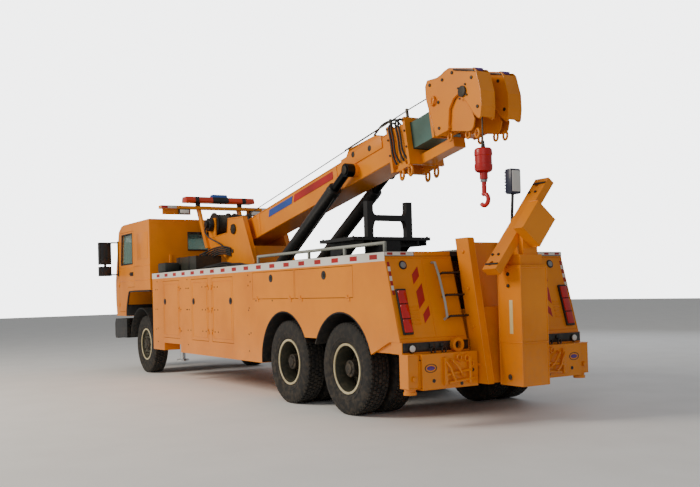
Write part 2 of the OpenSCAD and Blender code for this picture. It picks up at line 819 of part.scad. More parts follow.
module boom_rest() {
    color(black) at_truck() {
        translate([rest_x, 0, 0]) rotate([90, 0, 90]) linear_extrude(rest_t) difference() {
            translate([-rest_half, table_z - eps]) square([2 * rest_half, 460]);
            // notch that takes the boom
            translate([-rest_half + upright_w, rest_notch_z + 60]) square([2 * (rest_half - upright_w), 400]);
            translate([-rest_half + upright_w + 60, rest_notch_z]) square([2 * (rest_half - upright_w - 60), 100]);
            for (s = [-1, 1]) translate([s * (rest_half - upright_w - 60), rest_notch_z + 60]) circle(r = 60);
            // window under the notch
            translate([-rest_half + upright_w, table_z - 10]) square([2 * (rest_half - upright_w), 90]);
            translate([0, table_z + 80]) intersection() {
                circle(r = rest_half - upright_w);
                translate([-rest_half, -1]) square([2 * rest_half, 131]);
            }
        }
        box([750, -600, table_z - 45], [1600, 600, table_z]);
        box([770, -130, deck_z], [1100, 210, table_z - 40]);
        for (y = [-560, -440, 300, 430]) side_plate([[780, table_z - 40], [1560, table_z - 40], [1560, deck_z], [1400, deck_z],
            [1150, table_z - 110], [780, table_z - 110]], y, y + 30);
    }
}

// ---------------------------------------------------------------- boom
boom_low = -274;                          // underside of the boom below its pivot line
boom_top = boom_low + boom_h;
boom_mid = (boom_low + boom_top) / 2;
boom_back = -300;
eye_u = 3628;
eye_w = -128;
eye_r = 90;
inner_w = boom_w - 2 * boom_t - 16;
inner_h = boom_h - 2 * boom_t - 16;
inner_tail = 2600;
head_u = boom_len + boom_out;
boss_y = lift_y - 62;
slide_half = 85;

// Puts a shape, drawn along +X from the pivot and right side up, on the truck's boom
module on_boom() {
    at_truck() translate([pivot_x, 0, pivot_z]) rotate([0, boom_angle, 0]) rotate([0, 0, 180]) children();
}

module boom_outer() {
    half = boom_w / 2;
    collar = half + 60;
    color(orange) on_boom() difference() {
        union() {
            side_plate([[boom_back, boom_low + 120], [boom_back + 140, boom_low], [boom_len, boom_low],
                        [boom_len, boom_top], [boom_back, boom_top]], -half, half);
            // pivot bosses
            bar_y(120, -tower_in + 2, tower_in - 2);
            // rope housing on top, near the end
            side_plate([[3300, boom_top - eps], [3450, boom_top + 130], [4120, boom_top + 95], [4300, boom_top - eps]], -160, 160);
            // collar flanges and the lug block under them
            for (u = [boom_len - 400, boom_len - 45])
                box([u, -collar, boom_low - 165], [u + 45, collar, boom_top + 45]);
            both_sides() box([boom_len - 400, collar - 90, boom_low - 165], [boom_len, collar - 40, boom_low + eps]);
            // eye bosses for the lift cylinders
            translate([eye_u, 0, eye_w]) bar_y(eye_r, -boss_y, boss_y);
            // slide block under the inner boom, between the two guards of the head
            box([boom_len - eps, -slide_half, boom_low - 160], [boom_len + 640, slide_half, boom_low - 45]);
        }
        bar_y(pivot_r + pin_gap, -tower_in, tower_in);
        box([boom_back + 500, -half + boom_t, boom_low + boom_t], [boom_len + eps, half - boom_t, boom_top - boom_t]);
        both_sides() for (u = [boom_len - 330, boom_len - 110])
            translate([u, 0, boom_low - 110]) bar_y(26, collar - 91, collar - 39);
    }
}

module boom_inner() {
    half = inner_w / 2;
    pad = (boom_w - 2 * boom_t) / 2 - seat_gap;
    pad_h = (boom_h - 2 * boom_t) / 2 - seat_gap;
    color(grey_green) on_boom() difference() {
        union() {
            box([inner_tail, -half, boom_mid - inner_h / 2], [head_u, half, boom_mid + inner_h / 2]);
            box([inner_tail, -pad, boom_mid - pad_h], [inner_tail + 120, pad, boom_mid + pad_h]);
        }
        box([inner_tail - eps, -half + 16, boom_mid - inner_h / 2 + 16], [head_u - 30, half - 16, boom_mid + inner_h / 2 - 16]);
    }
}

sheave_u = head_u + 728;
sheave_w = 8;
sheave_r = 190;
guard_y = 190;
guard_half = 95;
cheek_t = 22;
sheave_pin_r = 35;
// cheek of a guard, shaped like a beak round the sheave
guard_outline = [
    [170, -314], [83, 166], [100, 320], [152, 375], [330, 335], [410, 338], [480, 354], [561, 355], [700, 295], [853, 229], [960, 182],
    [990, 140], [1018, -90], [995, -250], [955, -365], [925, -376], [895, -350], [848, -290], [757, -125], [690, -20], [640, 10],
    [560, -10], [470, -90], [400, -320]
];
// plate inside the cheeks, below the sheave
belly_outline = [[390, -320], [360, -130], [480, -60], [640, 30], [757, -125], [820, -330], [780, -410], [740, -436], [690, -430]];
belly_y = 45;

module boom_head() {
    half = inner_w / 2;
    color(orange) on_boom() {
        box([head_u, -half - 30, boom_mid - inner_h / 2 - 14], [head_u + 40, half + 30, boom_mid + inner_h / 2 + 30]);
        box([head_u + 39, -half + 20, boom_mid - inner_h / 2 + 10], [head_u + 420, half - 20, boom_mid + inner_h / 2 - 20]);
        for (side = [1, -1]) translate([head_u, side * guard_y, 0]) {
            for (y = [-guard_half, guard_half - cheek_t]) side_plate(guard_outline, y, y + cheek_t);
            for (y = [-belly_y - 18, belly_y]) side_plate(belly_outline, y, y + 18);
            // covers over the top of the cheeks and down the nose, with the sheave open between them
            side_plate([[152, 355], [330, 315], [410, 318], [480, 334], [561, 335], [620, 310], [620, 329],
                        [561, 354], [480, 353], [410, 337], [330, 334], [152, 374]], -guard_half + 1, guard_half - 1);
            side_plate([[988, 140], [1017, -90], [994, -250], [954, -364], [938, -358], [976, -246], [999, -90], [970, 140]],
                       -guard_half + 1, guard_half - 1);
            translate([sheave_u - head_u, 0, sheave_w]) {
                bar_y(sheave_pin_r, -guard_half + 1, guard_half - 1);
                bar_y(sheave_r, -28, 28);
            }
            box([170, -guard_half + 1, -300], [420, guard_half - 1, -120]);
        }
    }
}

// ---------------------------------------------------------------- lift cylinders
lift_eye = [pivot_x - eye_u * cos(boom_angle) + eye_w * sin(boom_angle),
            pivot_z + eye_u * sin(boom_angle) + eye_w * cos(boom_angle)];
lift_dx = lift_base[0] - lift_eye[0];
lift_dz = lift_eye[1] - lift_base[1];
lift_len = sqrt(lift_dx * lift_dx + lift_dz * lift_dz);
lift_pitch = atan2(lift_dz, lift_dx);
barrel_len = lift_len - 400;
gland_r = rod_d / 2;

// Puts a shape, drawn along +X from the lower pin, on the line of the lift cylinders
module on_lift() {
    at_truck() translate([lift_base[0], 0, lift_base[1]]) rotate([0, lift_pitch, 0]) rotate([0, 0, 180])
        both_sides() translate([0, lift_y, 0]) children();
}

module lift_barrels() {
    bore = lift_d / 2 - 15;
    color(black) on_lift() difference() {
        union() {
            bar_x(lift_d / 2, 110, barrel_len);
            bar_y(80, -55, 55);
            box([0, -50, -60], [140, 50, 60]);
        }
        bar_y(lift_pin_r + pin_gap, -60, 60);
        bar_x(bore, 240, barrel_len - 120);
        bar_x(gland_r + pin_gap, 200, barrel_len + eps);
    }
}

module lift_rods() {
    bore = lift_d / 2 - 15;
    color(steel) on_lift() {
        bar_x(gland_r, 700, lift_len - 40);
        bar_x(bore - seat_gap, 700, 820);
        translate([lift_len, 0, 0]) bar_y(eye_r, -62 + seat_gap, 50);
    }
}

// ---------------------------------------------------------------- hook
rope_r = 9;
hook_drop = 640;                          // from the sheave's side down to the top of the hook block
hang_x = pivot_x - sheave_u * cos(boom_angle) + sheave_w * sin(boom_angle) - sheave_r - rope_r;
hang_z = pivot_z + sheave_u * sin(boom_angle) + sheave_w * cos(boom_angle);
hang_y = guard_y;
block_r = 98;
block_top = hang_z - hook_drop;
block_low = block_top - 270;

module hook_block() {
    color("red") at_truck() translate([hang_x, hang_y, 0]) {
        translate([0, 0, block_top - eps]) cylinder(r = rope_r - seat_gap, h = hook_drop + eps);
        translate([0, 0, block_low]) cylinder(r = block_r, h = block_top - block_low);
    }
}

module hook() {
    r = 62;
    wire = 24;
    centre = block_low - 290;
    color("red") at_truck() translate([hang_x, hang_y, 0]) {
        translate([0, 0, block_low - 70]) cylinder(r = 45, h = 70 - seat_gap);
        translate([0, 0, centre + r - 10]) cylinder(r = 26, h = block_low - 69 - centre - r + 10);
        rotate([0, 0, 0]) translate([0, 0, centre]) rotate([0, -90, 90])
            rotate([0, 0, -20]) rotate_extrude(angle = 250, $fn = 40) translate([r, 0]) circle(r = wire, $fn = 20);
    }
}

// ---------------------------------------------------------------- underlift
mast_z0 = 400;
mast_z1 = 1950;
mast_x0 = -1265;                          // front face of a rail at its foot
mast_rail_in = 305;
mast_rail_out = 385;
mast_d = 210;
pin_r = 35;
lug_half = 92;
arm_front = arm_d - arm_rear;
ext_t = 20;

// Front face of the mast at a height
function mast_x(z) = mast_x0 + (z - mast_z0) * tan(mast_lean);

// A leaning block between two heights, from f0 to f1 behind the mast's front face
module lean(z0, z1, f0, f1, y0, y1) {
    side_plate([[mast_x(z0) - f0, z0], [mast_x(z1) - f0, z1], [mast_x(z1) - f1, z1], [mast_x(z0) - f1, z0]], y0, y1);
}

module underlift_mast() {
    color(orange) at_truck() {
        both_sides() lean(mast_z0, mast_z1, 0, mast_d, mast_rail_in, mast_rail_out);
        // back plate
        lean(mast_z0 + 200, mast_z1 - 40, 0, 24, -mast_rail_in - eps, mast_rail_in + eps);
        // foot and the seat on the tail frame
        lean(mast_z0, mast_z0 + 60, 0, 30, -mast_rail_in - eps, mast_rail_in + eps);
        both_sides() side_plate([[tail_x, rail_z - 40], [tail_x, sub_z - 20], [mast_x(sub_z - 20) - 5, sub_z - 20],
                                 [mast_x(rail_z - 40) - 5, rail_z - 40]], mast_rail_in - 40, mast_rail_in + 30);
    }
}

carriage_z0 = 400;
carriage_z1 = 1200;

module underlift_carriage() {
    color(orange) at_truck() difference() {
        union() {
            lean(carriage_z0, carriage_z1, 40, 140, -mast_rail_in + seat_gap, mast_rail_in - seat_gap);
            side_plate([[mast_x(430) - 130, 430], [mast_x(820) - 130, 820], [arm_x + 70, 560], [arm_x + 50, 400], [mast_x(400) - 130, 400]],
                       -lug_half, lug_half);
            translate([arm_x, 0, arm_z]) bar_y(82, -lug_half, lug_half);
            translate([arm_x, 0, arm_z]) bar_y(pin_r, -arm_w / 2 - 8, arm_w / 2 + 8);
            side_plate([[arm_x + 70, 400], [arm_x, arm_z - 82], [arm_x, arm_z + 82], [arm_x + 70, 560]], -lug_half, lug_half);
        }
    }
}

module underlift_arm() {
    half = arm_w / 2;
    low = arm_z - 90;
    high = arm_z + arm_len;
    rear = arm_x - arm_rear;
    front = rear + arm_d;
    wall = 20;
    color(orange) at_truck() difference() {
        box([rear, -half, low], [front, half, high]);
        // slot for the carriage lug
        box([rear + wall, -lug_half - run_gap, low - eps], [front + eps, lug_half + run_gap, arm_z + 330]);
        // socket of the extension
        box([rear + wall, -half + wall, arm_z + 360], [front - wall, half - wall, high + eps]);
        translate([arm_x, 0, arm_z]) bar_y(pin_r + pin_gap, -half - eps, half + eps);
    }
}

ext_gap = 28;                             // arm's outside to extension's outside
ext_top = arm_z + 1270;
swivel_z = arm_z + 1581;
tongue_x = arm_x - 120;
tongue_t = 60;
tongue_half = 100;
swivel_r = 35;

module underlift_extension() {
    half = arm_w / 2 - ext_gap;
    rear = arm_x - arm_rear + ext_gap;
    front = arm_x - arm_rear + arm_d - ext_gap;
    pad = ext_gap - 20 - seat_gap;
    color(orange) at_truck() difference() {
        union() {
            box([rear, -half, arm_z + 420], [front, half, ext_top]);
            box([rear - pad, -half - pad, arm_z + 420], [front + pad, half + pad, arm_z + 520]);
            // tongue that carries the crossbar
            box([tongue_x - tongue_t / 2, -tongue_half, ext_top - eps], [tongue_x + tongue_t / 2, tongue_half, swivel_z]);
            translate([0, 0, swivel_z]) bar_x(tongue_half, tongue_x - tongue_t / 2, tongue_x + tongue_t / 2);
        }
        translate([0, 0, swivel_z]) bar_x(swivel_r + pin_gap, tongue_x - tongue_t, tongue_x + tongue_t);
    }
}

bar_x0 = -1640;
bar_x1 = -1475;
bar_t = 90;
fork_bore = 30;

module underlift_crossbar() {
    hub_x0 = arm_x - arm_rear - hub_rear;
    hub_x1 = tongue_x - tongue_t / 2 - 2;
    color(orange) at_truck() translate([0, 0, swivel_z]) rotate([-crossbar_tilt, 0, 0]) difference() {
        union() {
            box([tongue_x + tongue_t / 2 + 2, -crossbar_len / 2, -bar_t / 2], [bar_x1, crossbar_len / 2, bar_t / 2]);
            box([hub_x0, -180, -150], [hub_x1, 180, 150]);
            bar_x(swivel_r, hub_x1 - eps, tongue_x + tongue_t / 2 + 2 + eps);
        }
        for (y = [-1, 1]) translate([(bar_x0 + bar_x1) / 2, y * (crossbar_len / 2 - 80), -bar_t]) cylinder(r = fork_bore, h = 2 * bar_t);
    }
}

chassis_frame();
engine();
front_axle();
rear_axles();
leaf_springs();
knuckle(1);  // knuckle_left
knuckle(-1);  // knuckle_right
front_tyre(1);  // front_tyre_left
front_rim(1);  // front_rim_left
front_tyre(-1);  // front_tyre_right
front_rim(-1);  // front_rim_right
twin_wheel(tandem, 1);  // mid_wheels_left
twin_wheel(tandem, -1);  // mid_wheels_right
twin_wheel(0, 1);  // rear_wheels_left
twin_wheel(0, -1);  // rear_wheels_right
bumper();
cab_shell();
cab_door(1);  // cab_door_left
cab_door(-1);  // cab_door_right
cab_glass();
mirrors();
cab_interior();
side_body(1);  // side_body_left
side_body(-1);  // side_body_right
deck();
tall_door(1, 0);  // locker_door_left_1
tall_door(1, 1);  // locker_door_left_2
tall_door(1, 2);  // locker_door_left_3
tall_door(-1, 0);  // locker_door_right_1
tall_door(-1, 1);  // locker_door_right_2
tall_door(-1, 2);  // locker_door_right_3
drop_door_pair(1);  // drop_doors_left
drop_door_pair(-1);  // drop_doors_right
rear_crossmember();
underrun_beam();
outrigger_beam(1);  // outrigger_beam_left
outrigger_beam(-1);  // outrigger_beam_right
outrigger_leg(1);  // outrigger_leg_left
outrigger_leg(-1);  // outrigger_leg_right
front_jacks();
handrails();
oil_tank();
tower();
winch_drums();
gantry();
light_bar();
boom_rest();
boom_outer();
boom_inner();
boom_head();
lift_barrels();
lift_rods();
hook_block();
hook();
underlift_mast();
underlift_carriage();
underlift_arm();
underlift_extension();
underlift_crossbar();
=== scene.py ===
"""Looks of a heavy tow truck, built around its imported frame.

Every length is in metres. Along X, sizes are written from the rearmost axle, and Datum.at moves
them into the frame. Each class below is one sub-assembly of the truck.
"""
from __future__ import annotations

import json
import logging
import math
from dataclasses import dataclass, field
from enum import Enum
from typing import Iterable, Sequence

import bmesh
import bpy
from mathutils import Matrix, Vector

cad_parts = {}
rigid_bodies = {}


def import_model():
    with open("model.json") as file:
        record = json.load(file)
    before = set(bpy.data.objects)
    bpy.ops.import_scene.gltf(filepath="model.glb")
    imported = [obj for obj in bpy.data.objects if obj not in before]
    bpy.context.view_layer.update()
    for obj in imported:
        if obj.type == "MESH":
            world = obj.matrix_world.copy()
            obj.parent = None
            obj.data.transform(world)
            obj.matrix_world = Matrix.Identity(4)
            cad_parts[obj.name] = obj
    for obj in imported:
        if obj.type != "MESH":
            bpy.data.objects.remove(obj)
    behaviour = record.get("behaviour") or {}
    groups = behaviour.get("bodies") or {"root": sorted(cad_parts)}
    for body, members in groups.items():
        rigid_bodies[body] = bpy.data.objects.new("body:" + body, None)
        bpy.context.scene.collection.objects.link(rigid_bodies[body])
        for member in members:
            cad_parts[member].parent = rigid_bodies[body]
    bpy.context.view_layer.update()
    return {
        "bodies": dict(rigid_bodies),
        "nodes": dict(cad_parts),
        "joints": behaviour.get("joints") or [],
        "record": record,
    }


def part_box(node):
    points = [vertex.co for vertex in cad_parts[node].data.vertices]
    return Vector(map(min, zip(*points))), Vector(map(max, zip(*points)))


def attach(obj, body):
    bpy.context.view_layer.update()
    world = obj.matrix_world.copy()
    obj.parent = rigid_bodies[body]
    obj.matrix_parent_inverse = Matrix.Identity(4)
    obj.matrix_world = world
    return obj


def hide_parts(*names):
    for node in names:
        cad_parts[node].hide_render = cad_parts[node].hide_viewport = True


LOG = logging.getLogger("tow_truck")
Point = Sequence[float]
MM = 0.001


# ---------------------------------------------------------------- finishes
class Grain(Enum):
    """How a surface was made, which decides its fine relief."""

    SPRAYED = "sprayed"      # orange peel of sprayed enamel
    CAST = "cast"            # sand-cast iron
    PLATE = "plate"          # raised tread on floor plate
    MOULDED = "moulded"      # moulded rubber or plastic
    WIRE = "wire"            # strands laid round a rope
    WOVEN = "woven"          # seat cloth
    POLISHED = "polished"    # ground and plated bar
    CLEAR = "clear"          # glass and lenses


@dataclass(frozen=True)
class Finish:
    """One finish: what the real surface is and the values that show it."""

    name: str
    slot: str
    colour: str
    shade: str
    grain: Grain
    roughness: float = 0.4
    metallic: float = 0.0
    coat: float = 0.0
    ior: float = 1.5
    transmission: float = 0.0
    grain_mm: float = 3.0
    bump_mm: float = 0.1
    patch_mm: float = 700.0
    dust: float = 0.25
    glow: float = 0.0
    round_mm: float = 0.0

    def material(self) -> bpy.types.Material:
        """The material, made once.

        Returns:
            The node material of this finish.
        """
        found = bpy.data.materials.get(self.name)
        return found if found else MaterialMaker(self).make()


BODY_ENAMEL = Finish("orange_enamel", "body_orange", "#F08E00", "#E08000", Grain.SPRAYED, 0.36,
                     coat=0.25, grain_mm=9, bump_mm=0.12, dust=0.16, round_mm=5)
BLACK_ENAMEL = Finish("black_enamel", "black_paint", "#17181A", "#0F1011", Grain.SPRAYED, 0.42,
                      coat=0.2, grain_mm=8, bump_mm=0.12, dust=0.3, round_mm=4)
FRAME_PAINT = Finish("chassis_paint", "frame_black", "#1B1C1E", "#2A2623", Grain.CAST, 0.62, grain_mm=6,
                     bump_mm=0.2, dust=0.5)
TYRE_RUBBER = Finish("tyre_rubber", "tyre", "#1B1B1C", "#222120", Grain.MOULDED, 0.82, grain_mm=3,
                     bump_mm=0.25, dust=0.22)
RIM_ENAMEL = Finish("cream_rim_enamel", "rim_cream", "#D9CFA9", "#B9AC84", Grain.SPRAYED, 0.42,
                    coat=0.1, grain_mm=7, bump_mm=0.1, dust=0.45)
# dark olive for the rim's dish and barrel is painted shade: the rims are cream, and the olive stands for the shade
# inside the dished wheel
RIM_DISH_PAINTED_SHADE = Finish("rim_dish_painted_shade", "rim_cream", "#45463A", "#34352B", Grain.SPRAYED, 0.5, grain_mm=7,
                   bump_mm=0.1, dust=0.3)
NITRIDED_BAR = Finish("nitrided_rod", "rod_chrome", "#2C2E30", "#232527", Grain.POLISHED, 0.28, 0.9,
                      grain_mm=2, bump_mm=0.02, dust=0.1)
MIRROR_GLASS = Finish("mirror_glass", "black_plastic", "#2C3034", "#24282C", Grain.CLEAR, 0.22, 0.25, dust=0.0)
HUB_IRON = Finish("hub_cast_iron", "cast_steel", "#4A4640", "#2E2A26", Grain.CAST, 0.6, 0.55, grain_mm=4,
                  bump_mm=0.5, dust=0.5)
CAST_IRON = Finish("rough_cast_iron", "engine_grey", "#5A5D60", "#43464A", Grain.CAST, 0.62, 0.4,
                   grain_mm=4, bump_mm=0.5, dust=0.4)
TREAD_PLATE = Finish("deck_tread_plate", "deck_black", "#3A3B3B", "#2A2B2C", Grain.PLATE, 0.5, 0.35,
                     grain_mm=38, bump_mm=1.6, dust=0.3)
PLATED_BAR = Finish("plated_rod", "rod_chrome", "#C6CACD", "#AEB3B7", Grain.POLISHED, 0.16, 1.0,
                    grain_mm=2, bump_mm=0.02, dust=0.1)
ZINC = Finish("zinc_plated_steel", "rod_chrome", "#A6A9AB", "#8D9092", Grain.CAST, 0.4, 0.9, grain_mm=5,
              bump_mm=0.1, dust=0.3)
RAIL_ENAMEL = Finish("beige_rail_enamel", "rail_beige", "#A9ACA4", "#8F928A", Grain.SPRAYED, 0.4,
                     coat=0.1, grain_mm=6, bump_mm=0.1)
GREEN_ENAMEL = Finish("grey_green_enamel", "boom_green", "#4C736B", "#395850", Grain.SPRAYED, 0.42,
                      coat=0.1, grain_mm=8, bump_mm=0.12, dust=0.3, round_mm=3)
HOOK_ENAMEL = Finish("red_hook_enamel", "hook_red", "#C80A08", "#9A0605", Grain.SPRAYED, 0.38, coat=0.25,
                     grain_mm=6, bump_mm=0.15, dust=0.15)
WINCH_ENAMEL = Finish("dark_winch_enamel", "winch_red", "#24211F", "#191716", Grain.CAST, 0.5, grain_mm=6,
                      bump_mm=0.2)
TANK_ENAMEL = Finish("grey_tank_enamel", "tank_grey", "#33352F", "#262822", Grain.SPRAYED, 0.45,
                     coat=0.1, grain_mm=8, bump_mm=0.12)
BLACK_PLASTIC = Finish("moulded_black_plastic", "black_plastic", "#191A1B", "#222324", Grain.MOULDED, 0.55,
                       grain_mm=2, bump_mm=0.12)
TRIM_PLASTIC = Finish("dashboard_plastic", "interior_grey", "#3B3D40", "#303236", Grain.MOULDED, 0.6,
                      grain_mm=2, bump_mm=0.1, dust=0.0)
SEAT_CLOTH = Finish("woven_seat_cloth", "interior_grey", "#3A3F47", "#4A4F58", Grain.WOVEN, 0.9,
                    grain_mm=6, bump_mm=0.5, dust=0.0)
HOSE_RUBBER = Finish("hose_rubber", "black_plastic", "#151516", "#1E1E1F", Grain.MOULDED, 0.6, grain_mm=3,
                     bump_mm=0.15)
WIRE_ROPE = Finish("greased_wire_rope", "rod_chrome", "#6A655C", "#45413B", Grain.WIRE, 0.5, 0.8,
                   grain_mm=14, bump_mm=1.2, dust=0.2)
CAB_GLASS = Finish("tinted_safety_glass", "glass_green", "#C9E6DC", "#C9E6DC", Grain.CLEAR, 0.04,
                   ior=1.5, transmission=0.85, dust=0.0)
RED_LENS = Finish("red_lens", "lamp_red", "#C00A06", "#7C0604", Grain.CLEAR, 0.16, coat=0.6, ior=1.49,
                  dust=0.0, glow=0.15)
BEACON_LENS = Finish("red_amber_lens", "lamp_red", "#C8350C", "#A82808", Grain.CLEAR, 0.16, coat=0.6, ior=1.49,
                     dust=0.0, glow=0.1)
BLUE_TAPE = Finish("blue_marking_tape", "lamp_red", "#2A4FA8", "#24458F", Grain.MOULDED, 0.35, coat=0.3,
                   grain_mm=5, bump_mm=0.05, dust=0.2)
AMBER_LENS = Finish("amber_lens", "lamp_red", "#F07A12", "#C85F0A", Grain.CLEAR, 0.16, coat=0.6, ior=1.49,
                    dust=0.0, glow=0.1)
WHITE_LENS = Finish("white_lens", "lamp_red", "#E9EAE6", "#D6D7D2", Grain.CLEAR, 0.14, coat=0.6, ior=1.49,
                    dust=0.0)
BLUE_LENS = Finish("blue_lens", "lamp_red", "#1E4E9E", "#123A7C", Grain.CLEAR, 0.16, coat=0.6, ior=1.49,
                   dust=0.0, glow=0.1)
PURPLE_LENS = Finish("purple_reflector", "lamp_red", "#5A2C86", "#3C2A78", Grain.CLEAR, 0.22, coat=0.5,
                     ior=1.49, dust=0.0)
NAVY_ENAMEL = Finish("navy_lamp_enamel", "black_paint", "#1D2748", "#161D38", Grain.SPRAYED, 0.4, coat=0.2,
                     grain_mm=6, bump_mm=0.1)
RED_TAPE = Finish("red_marking_tape", "lamp_red", "#B8120A", "#960C08", Grain.MOULDED, 0.35, coat=0.3,
                  grain_mm=5, bump_mm=0.05, dust=0.2)
SIDE_TAPE = Finish("white_marking_tape", "rim_cream", "#ECE9E2", "#DAD6CC", Grain.MOULDED, 0.35, coat=0.3,
                   grain_mm=5, bump_mm=0.05, dust=0.15)
PALE_TAPE = Finish("pale_marking_tape", "rim_cream", "#E6D9A8", "#D7C68C", Grain.MOULDED, 0.35, coat=0.3,
                   grain_mm=5, bump_mm=0.05, dust=0.2)
WHITE_ENAMEL = Finish("white_plate_enamel", "rim_cream", "#E4E3DD", "#D2D0C8", Grain.SPRAYED, 0.4)
FLOOR = Finish("studio_floor", "rim_cream", "#F4F4F2", "#EFEFED", Grain.MOULDED, 0.75, grain_mm=6,
               bump_mm=0.0, dust=0.0)


def linear(hex_colour: str) -> tuple[float, float, float, float]:
    """An sRGB hex colour as linear values.

    Args:
        hex_colour: The colour, such as "#F29A1C".

    Returns:
        Red, green, blue and alpha, all linear.
    """
    raw = [int(hex_colour[i:i + 2], 16) / 255 for i in (1, 3, 5)]
    red, green, blue = (v / 12.92 if v <= 0.04045 else ((v + 0.055) / 1.055) ** 2.4 for v in raw)
    return (red, green, blue, 1.0)


class MaterialMaker:
    """Builds the node material of one finish."""

    DUST = "#8A7A63"

    def __init__(self, finish: Finish) -> None:
        """Starts an empty node tree.

        Args:
            finish: The finish to build.
        """
        self.finish = finish
        self.material = bpy.data.materials.new(finish.name)
        self.material.use_nodes = True
        self.tree = self.material.node_tree
        self.tree.nodes.clear()

    def node(self, kind: str, settings: dict | None = None, links: dict | None = None) -> bpy.types.Node:
        """Adds a node.

        Args:
            kind: Blender's name for the node's type.
            settings: Attributes, or input values where the key is an input's name or number.
            links: Input name or number to the output socket that feeds it.

        Returns:
            The new node.
        """
        new = self.tree.nodes.new(kind)
        for key, value in (settings or {}).items():
            if isinstance(key, int) or key in new.inputs:
                new.inputs[key].default_value = value
            else:
                setattr(new, key, value)
        for key, socket in (links or {}).items():
            self.tree.links.new(socket, new.inputs[key])
        return new

    def mix(self, factor: bpy.types.NodeSocket, low: object, high: object) -> bpy.types.NodeSocket:
        """Mixes two colours.

        Args:
            factor: How much of the second colour.
            low: A colour, or a socket that gives one.
            high: A colour, or a socket that gives one.

        Returns:
            The mixed colour's socket.
        """
        settings: dict = {"data_type": "RGBA"}
        links: dict = {0: factor}
        for key, value in ((6, low), (7, high)):
            if isinstance(value, tuple):
                settings[key] = value
            else:
                links[key] = value
        return self.node("ShaderNodeMix", settings, links).outputs[2]

    def noise(self, where: bpy.types.NodeSocket, size_mm: float, detail: float = 3.0) -> bpy.types.NodeSocket:
        """Noise with patches of a real size.

        Args:
            where: The coordinates.
            size_mm: The size of a patch.
            detail: How many finer layers it has.

        Returns:
            The noise's value socket.
        """
        scale = 1.0 / (size_mm * MM)
        return self.node("ShaderNodeTexNoise", {"Scale": scale, "Detail": detail}, {"Vector": where}).outputs[0]

    def spread(self, value: bpy.types.NodeSocket, low: float, high: float, to_low: float,
               to_high: float) -> bpy.types.NodeSocket:
        """Maps a range of values to another.

        Args:
            value: The value.
            low: Start of its range.
            high: End of its range.
            to_low: What the start becomes.
            to_high: What the end becomes.

        Returns:
            The mapped value's socket.
        """
        settings = {1: low, 2: high, 3: to_low, 4: to_high}
        return self.node("ShaderNodeMapRange", settings, {0: value}).outputs[0]

    def relief(self, where: bpy.types.NodeSocket) -> bpy.types.NodeSocket:
        """The fine relief that the way of making leaves.

        Args:
            where: The coordinates.

        Returns:
            A height between 0 and 1.
        """
        finish = self.finish
        scale = 1.0 / (finish.grain_mm * MM)
        if finish.grain is Grain.PLATE:
            # raised diamonds, turned an eighth of a turn to the deck's edges
            turned = self.node("ShaderNodeMapping", {"Rotation": (0.0, 0.0, math.pi / 4)}, {"Vector": where})
            cells = self.node("ShaderNodeTexVoronoi", {"distance": "CHEBYCHEV", "Scale": scale, "Randomness": 0.0},
                              {"Vector": turned.outputs[0]})
            return self.spread(cells.outputs[0], 0.12, 0.30, 1.0, 0.0)
        if finish.grain is Grain.WIRE:
            settings = {"bands_direction": "DIAGONAL", "Scale": scale / 6, "Distortion": 0.0}
            return self.node("ShaderNodeTexWave", settings, {"Vector": where}).outputs[1]
        if finish.grain is Grain.WOVEN:
            across = self.node("ShaderNodeTexWave", {"bands_direction": "X", "Scale": scale / 6}, {"Vector": where})
            along = self.node("ShaderNodeTexWave", {"bands_direction": "Z", "Scale": scale / 6}, {"Vector": where})
            return self.node("ShaderNodeMath", {"operation": "MAXIMUM"},
                             {0: across.outputs[1], 1: along.outputs[1]}).outputs[0]
        if finish.grain is Grain.CAST:
            pits = self.node("ShaderNodeTexVoronoi", {"Scale": scale}, {"Vector": where})
            return self.spread(pits.outputs[0], 0.0, 0.7, 0.0, 1.0)
        return self.noise(where, finish.grain_mm, 2.0)

    def make(self) -> bpy.types.Material:
        """Builds the tree.

        Returns:
            The finished material.
        """
        finish = self.finish
        where = self.node("ShaderNodeTexCoord").outputs["Object"]
        patches = self.noise(where, finish.patch_mm, 4.0)
        blotch = self.spread(patches, 0.38, 0.66, 0.0, 1.0)
        colour = self.mix(blotch, linear(finish.colour), linear(finish.shade))
        rough = self.spread(patches, 0.3, 0.7, max(finish.roughness - 0.05, 0.03), finish.roughness + 0.08)
        if finish.dust > 0:
            # road dust settles low on the truck and in patches higher up
            height = self.node("ShaderNodeSeparateXYZ", {}, {0: where}).outputs[2]
            low = self.spread(height, 0.25, 1.35, 1.0, 0.12)
            fine = self.noise(where, 55.0, 6.0)
            specks = self.spread(fine, 0.42, 0.75, 0.0, finish.dust)
            dust = self.node("ShaderNodeMath", {"operation": "MULTIPLY"}, {0: low, 1: specks}).outputs[0]
            colour = self.mix(dust, colour, linear(self.DUST))
        shader = self.node("ShaderNodeBsdfPrincipled", {
            "Metallic": finish.metallic, "IOR": finish.ior, "Coat Weight": finish.coat,
            "Coat Roughness": 0.12, "Transmission Weight": finish.transmission,
            "Emission Color": linear(finish.colour), "Emission Strength": finish.glow,
        }, {"Base Color": colour, "Roughness": rough})
        if finish.bump_mm > 0 and finish.grain is not Grain.CLEAR:
            links = {"Height": self.relief(where)}
            if finish.round_mm > 0:
                # folded and welded plate has softly rounded edges
                links["Normal"] = self.node("ShaderNodeBevel", {"samples": 4,
                                                                "Radius": finish.round_mm * MM}).outputs[0]
            bump = self.node("ShaderNodeBump", {"Distance": finish.bump_mm * MM, "Strength": 0.9}, links)
            self.tree.links.new(bump.outputs[0], shader.inputs["Normal"])
        self.node("ShaderNodeOutputMaterial", {}, {"Surface": shader.outputs[0]})
        return self.material


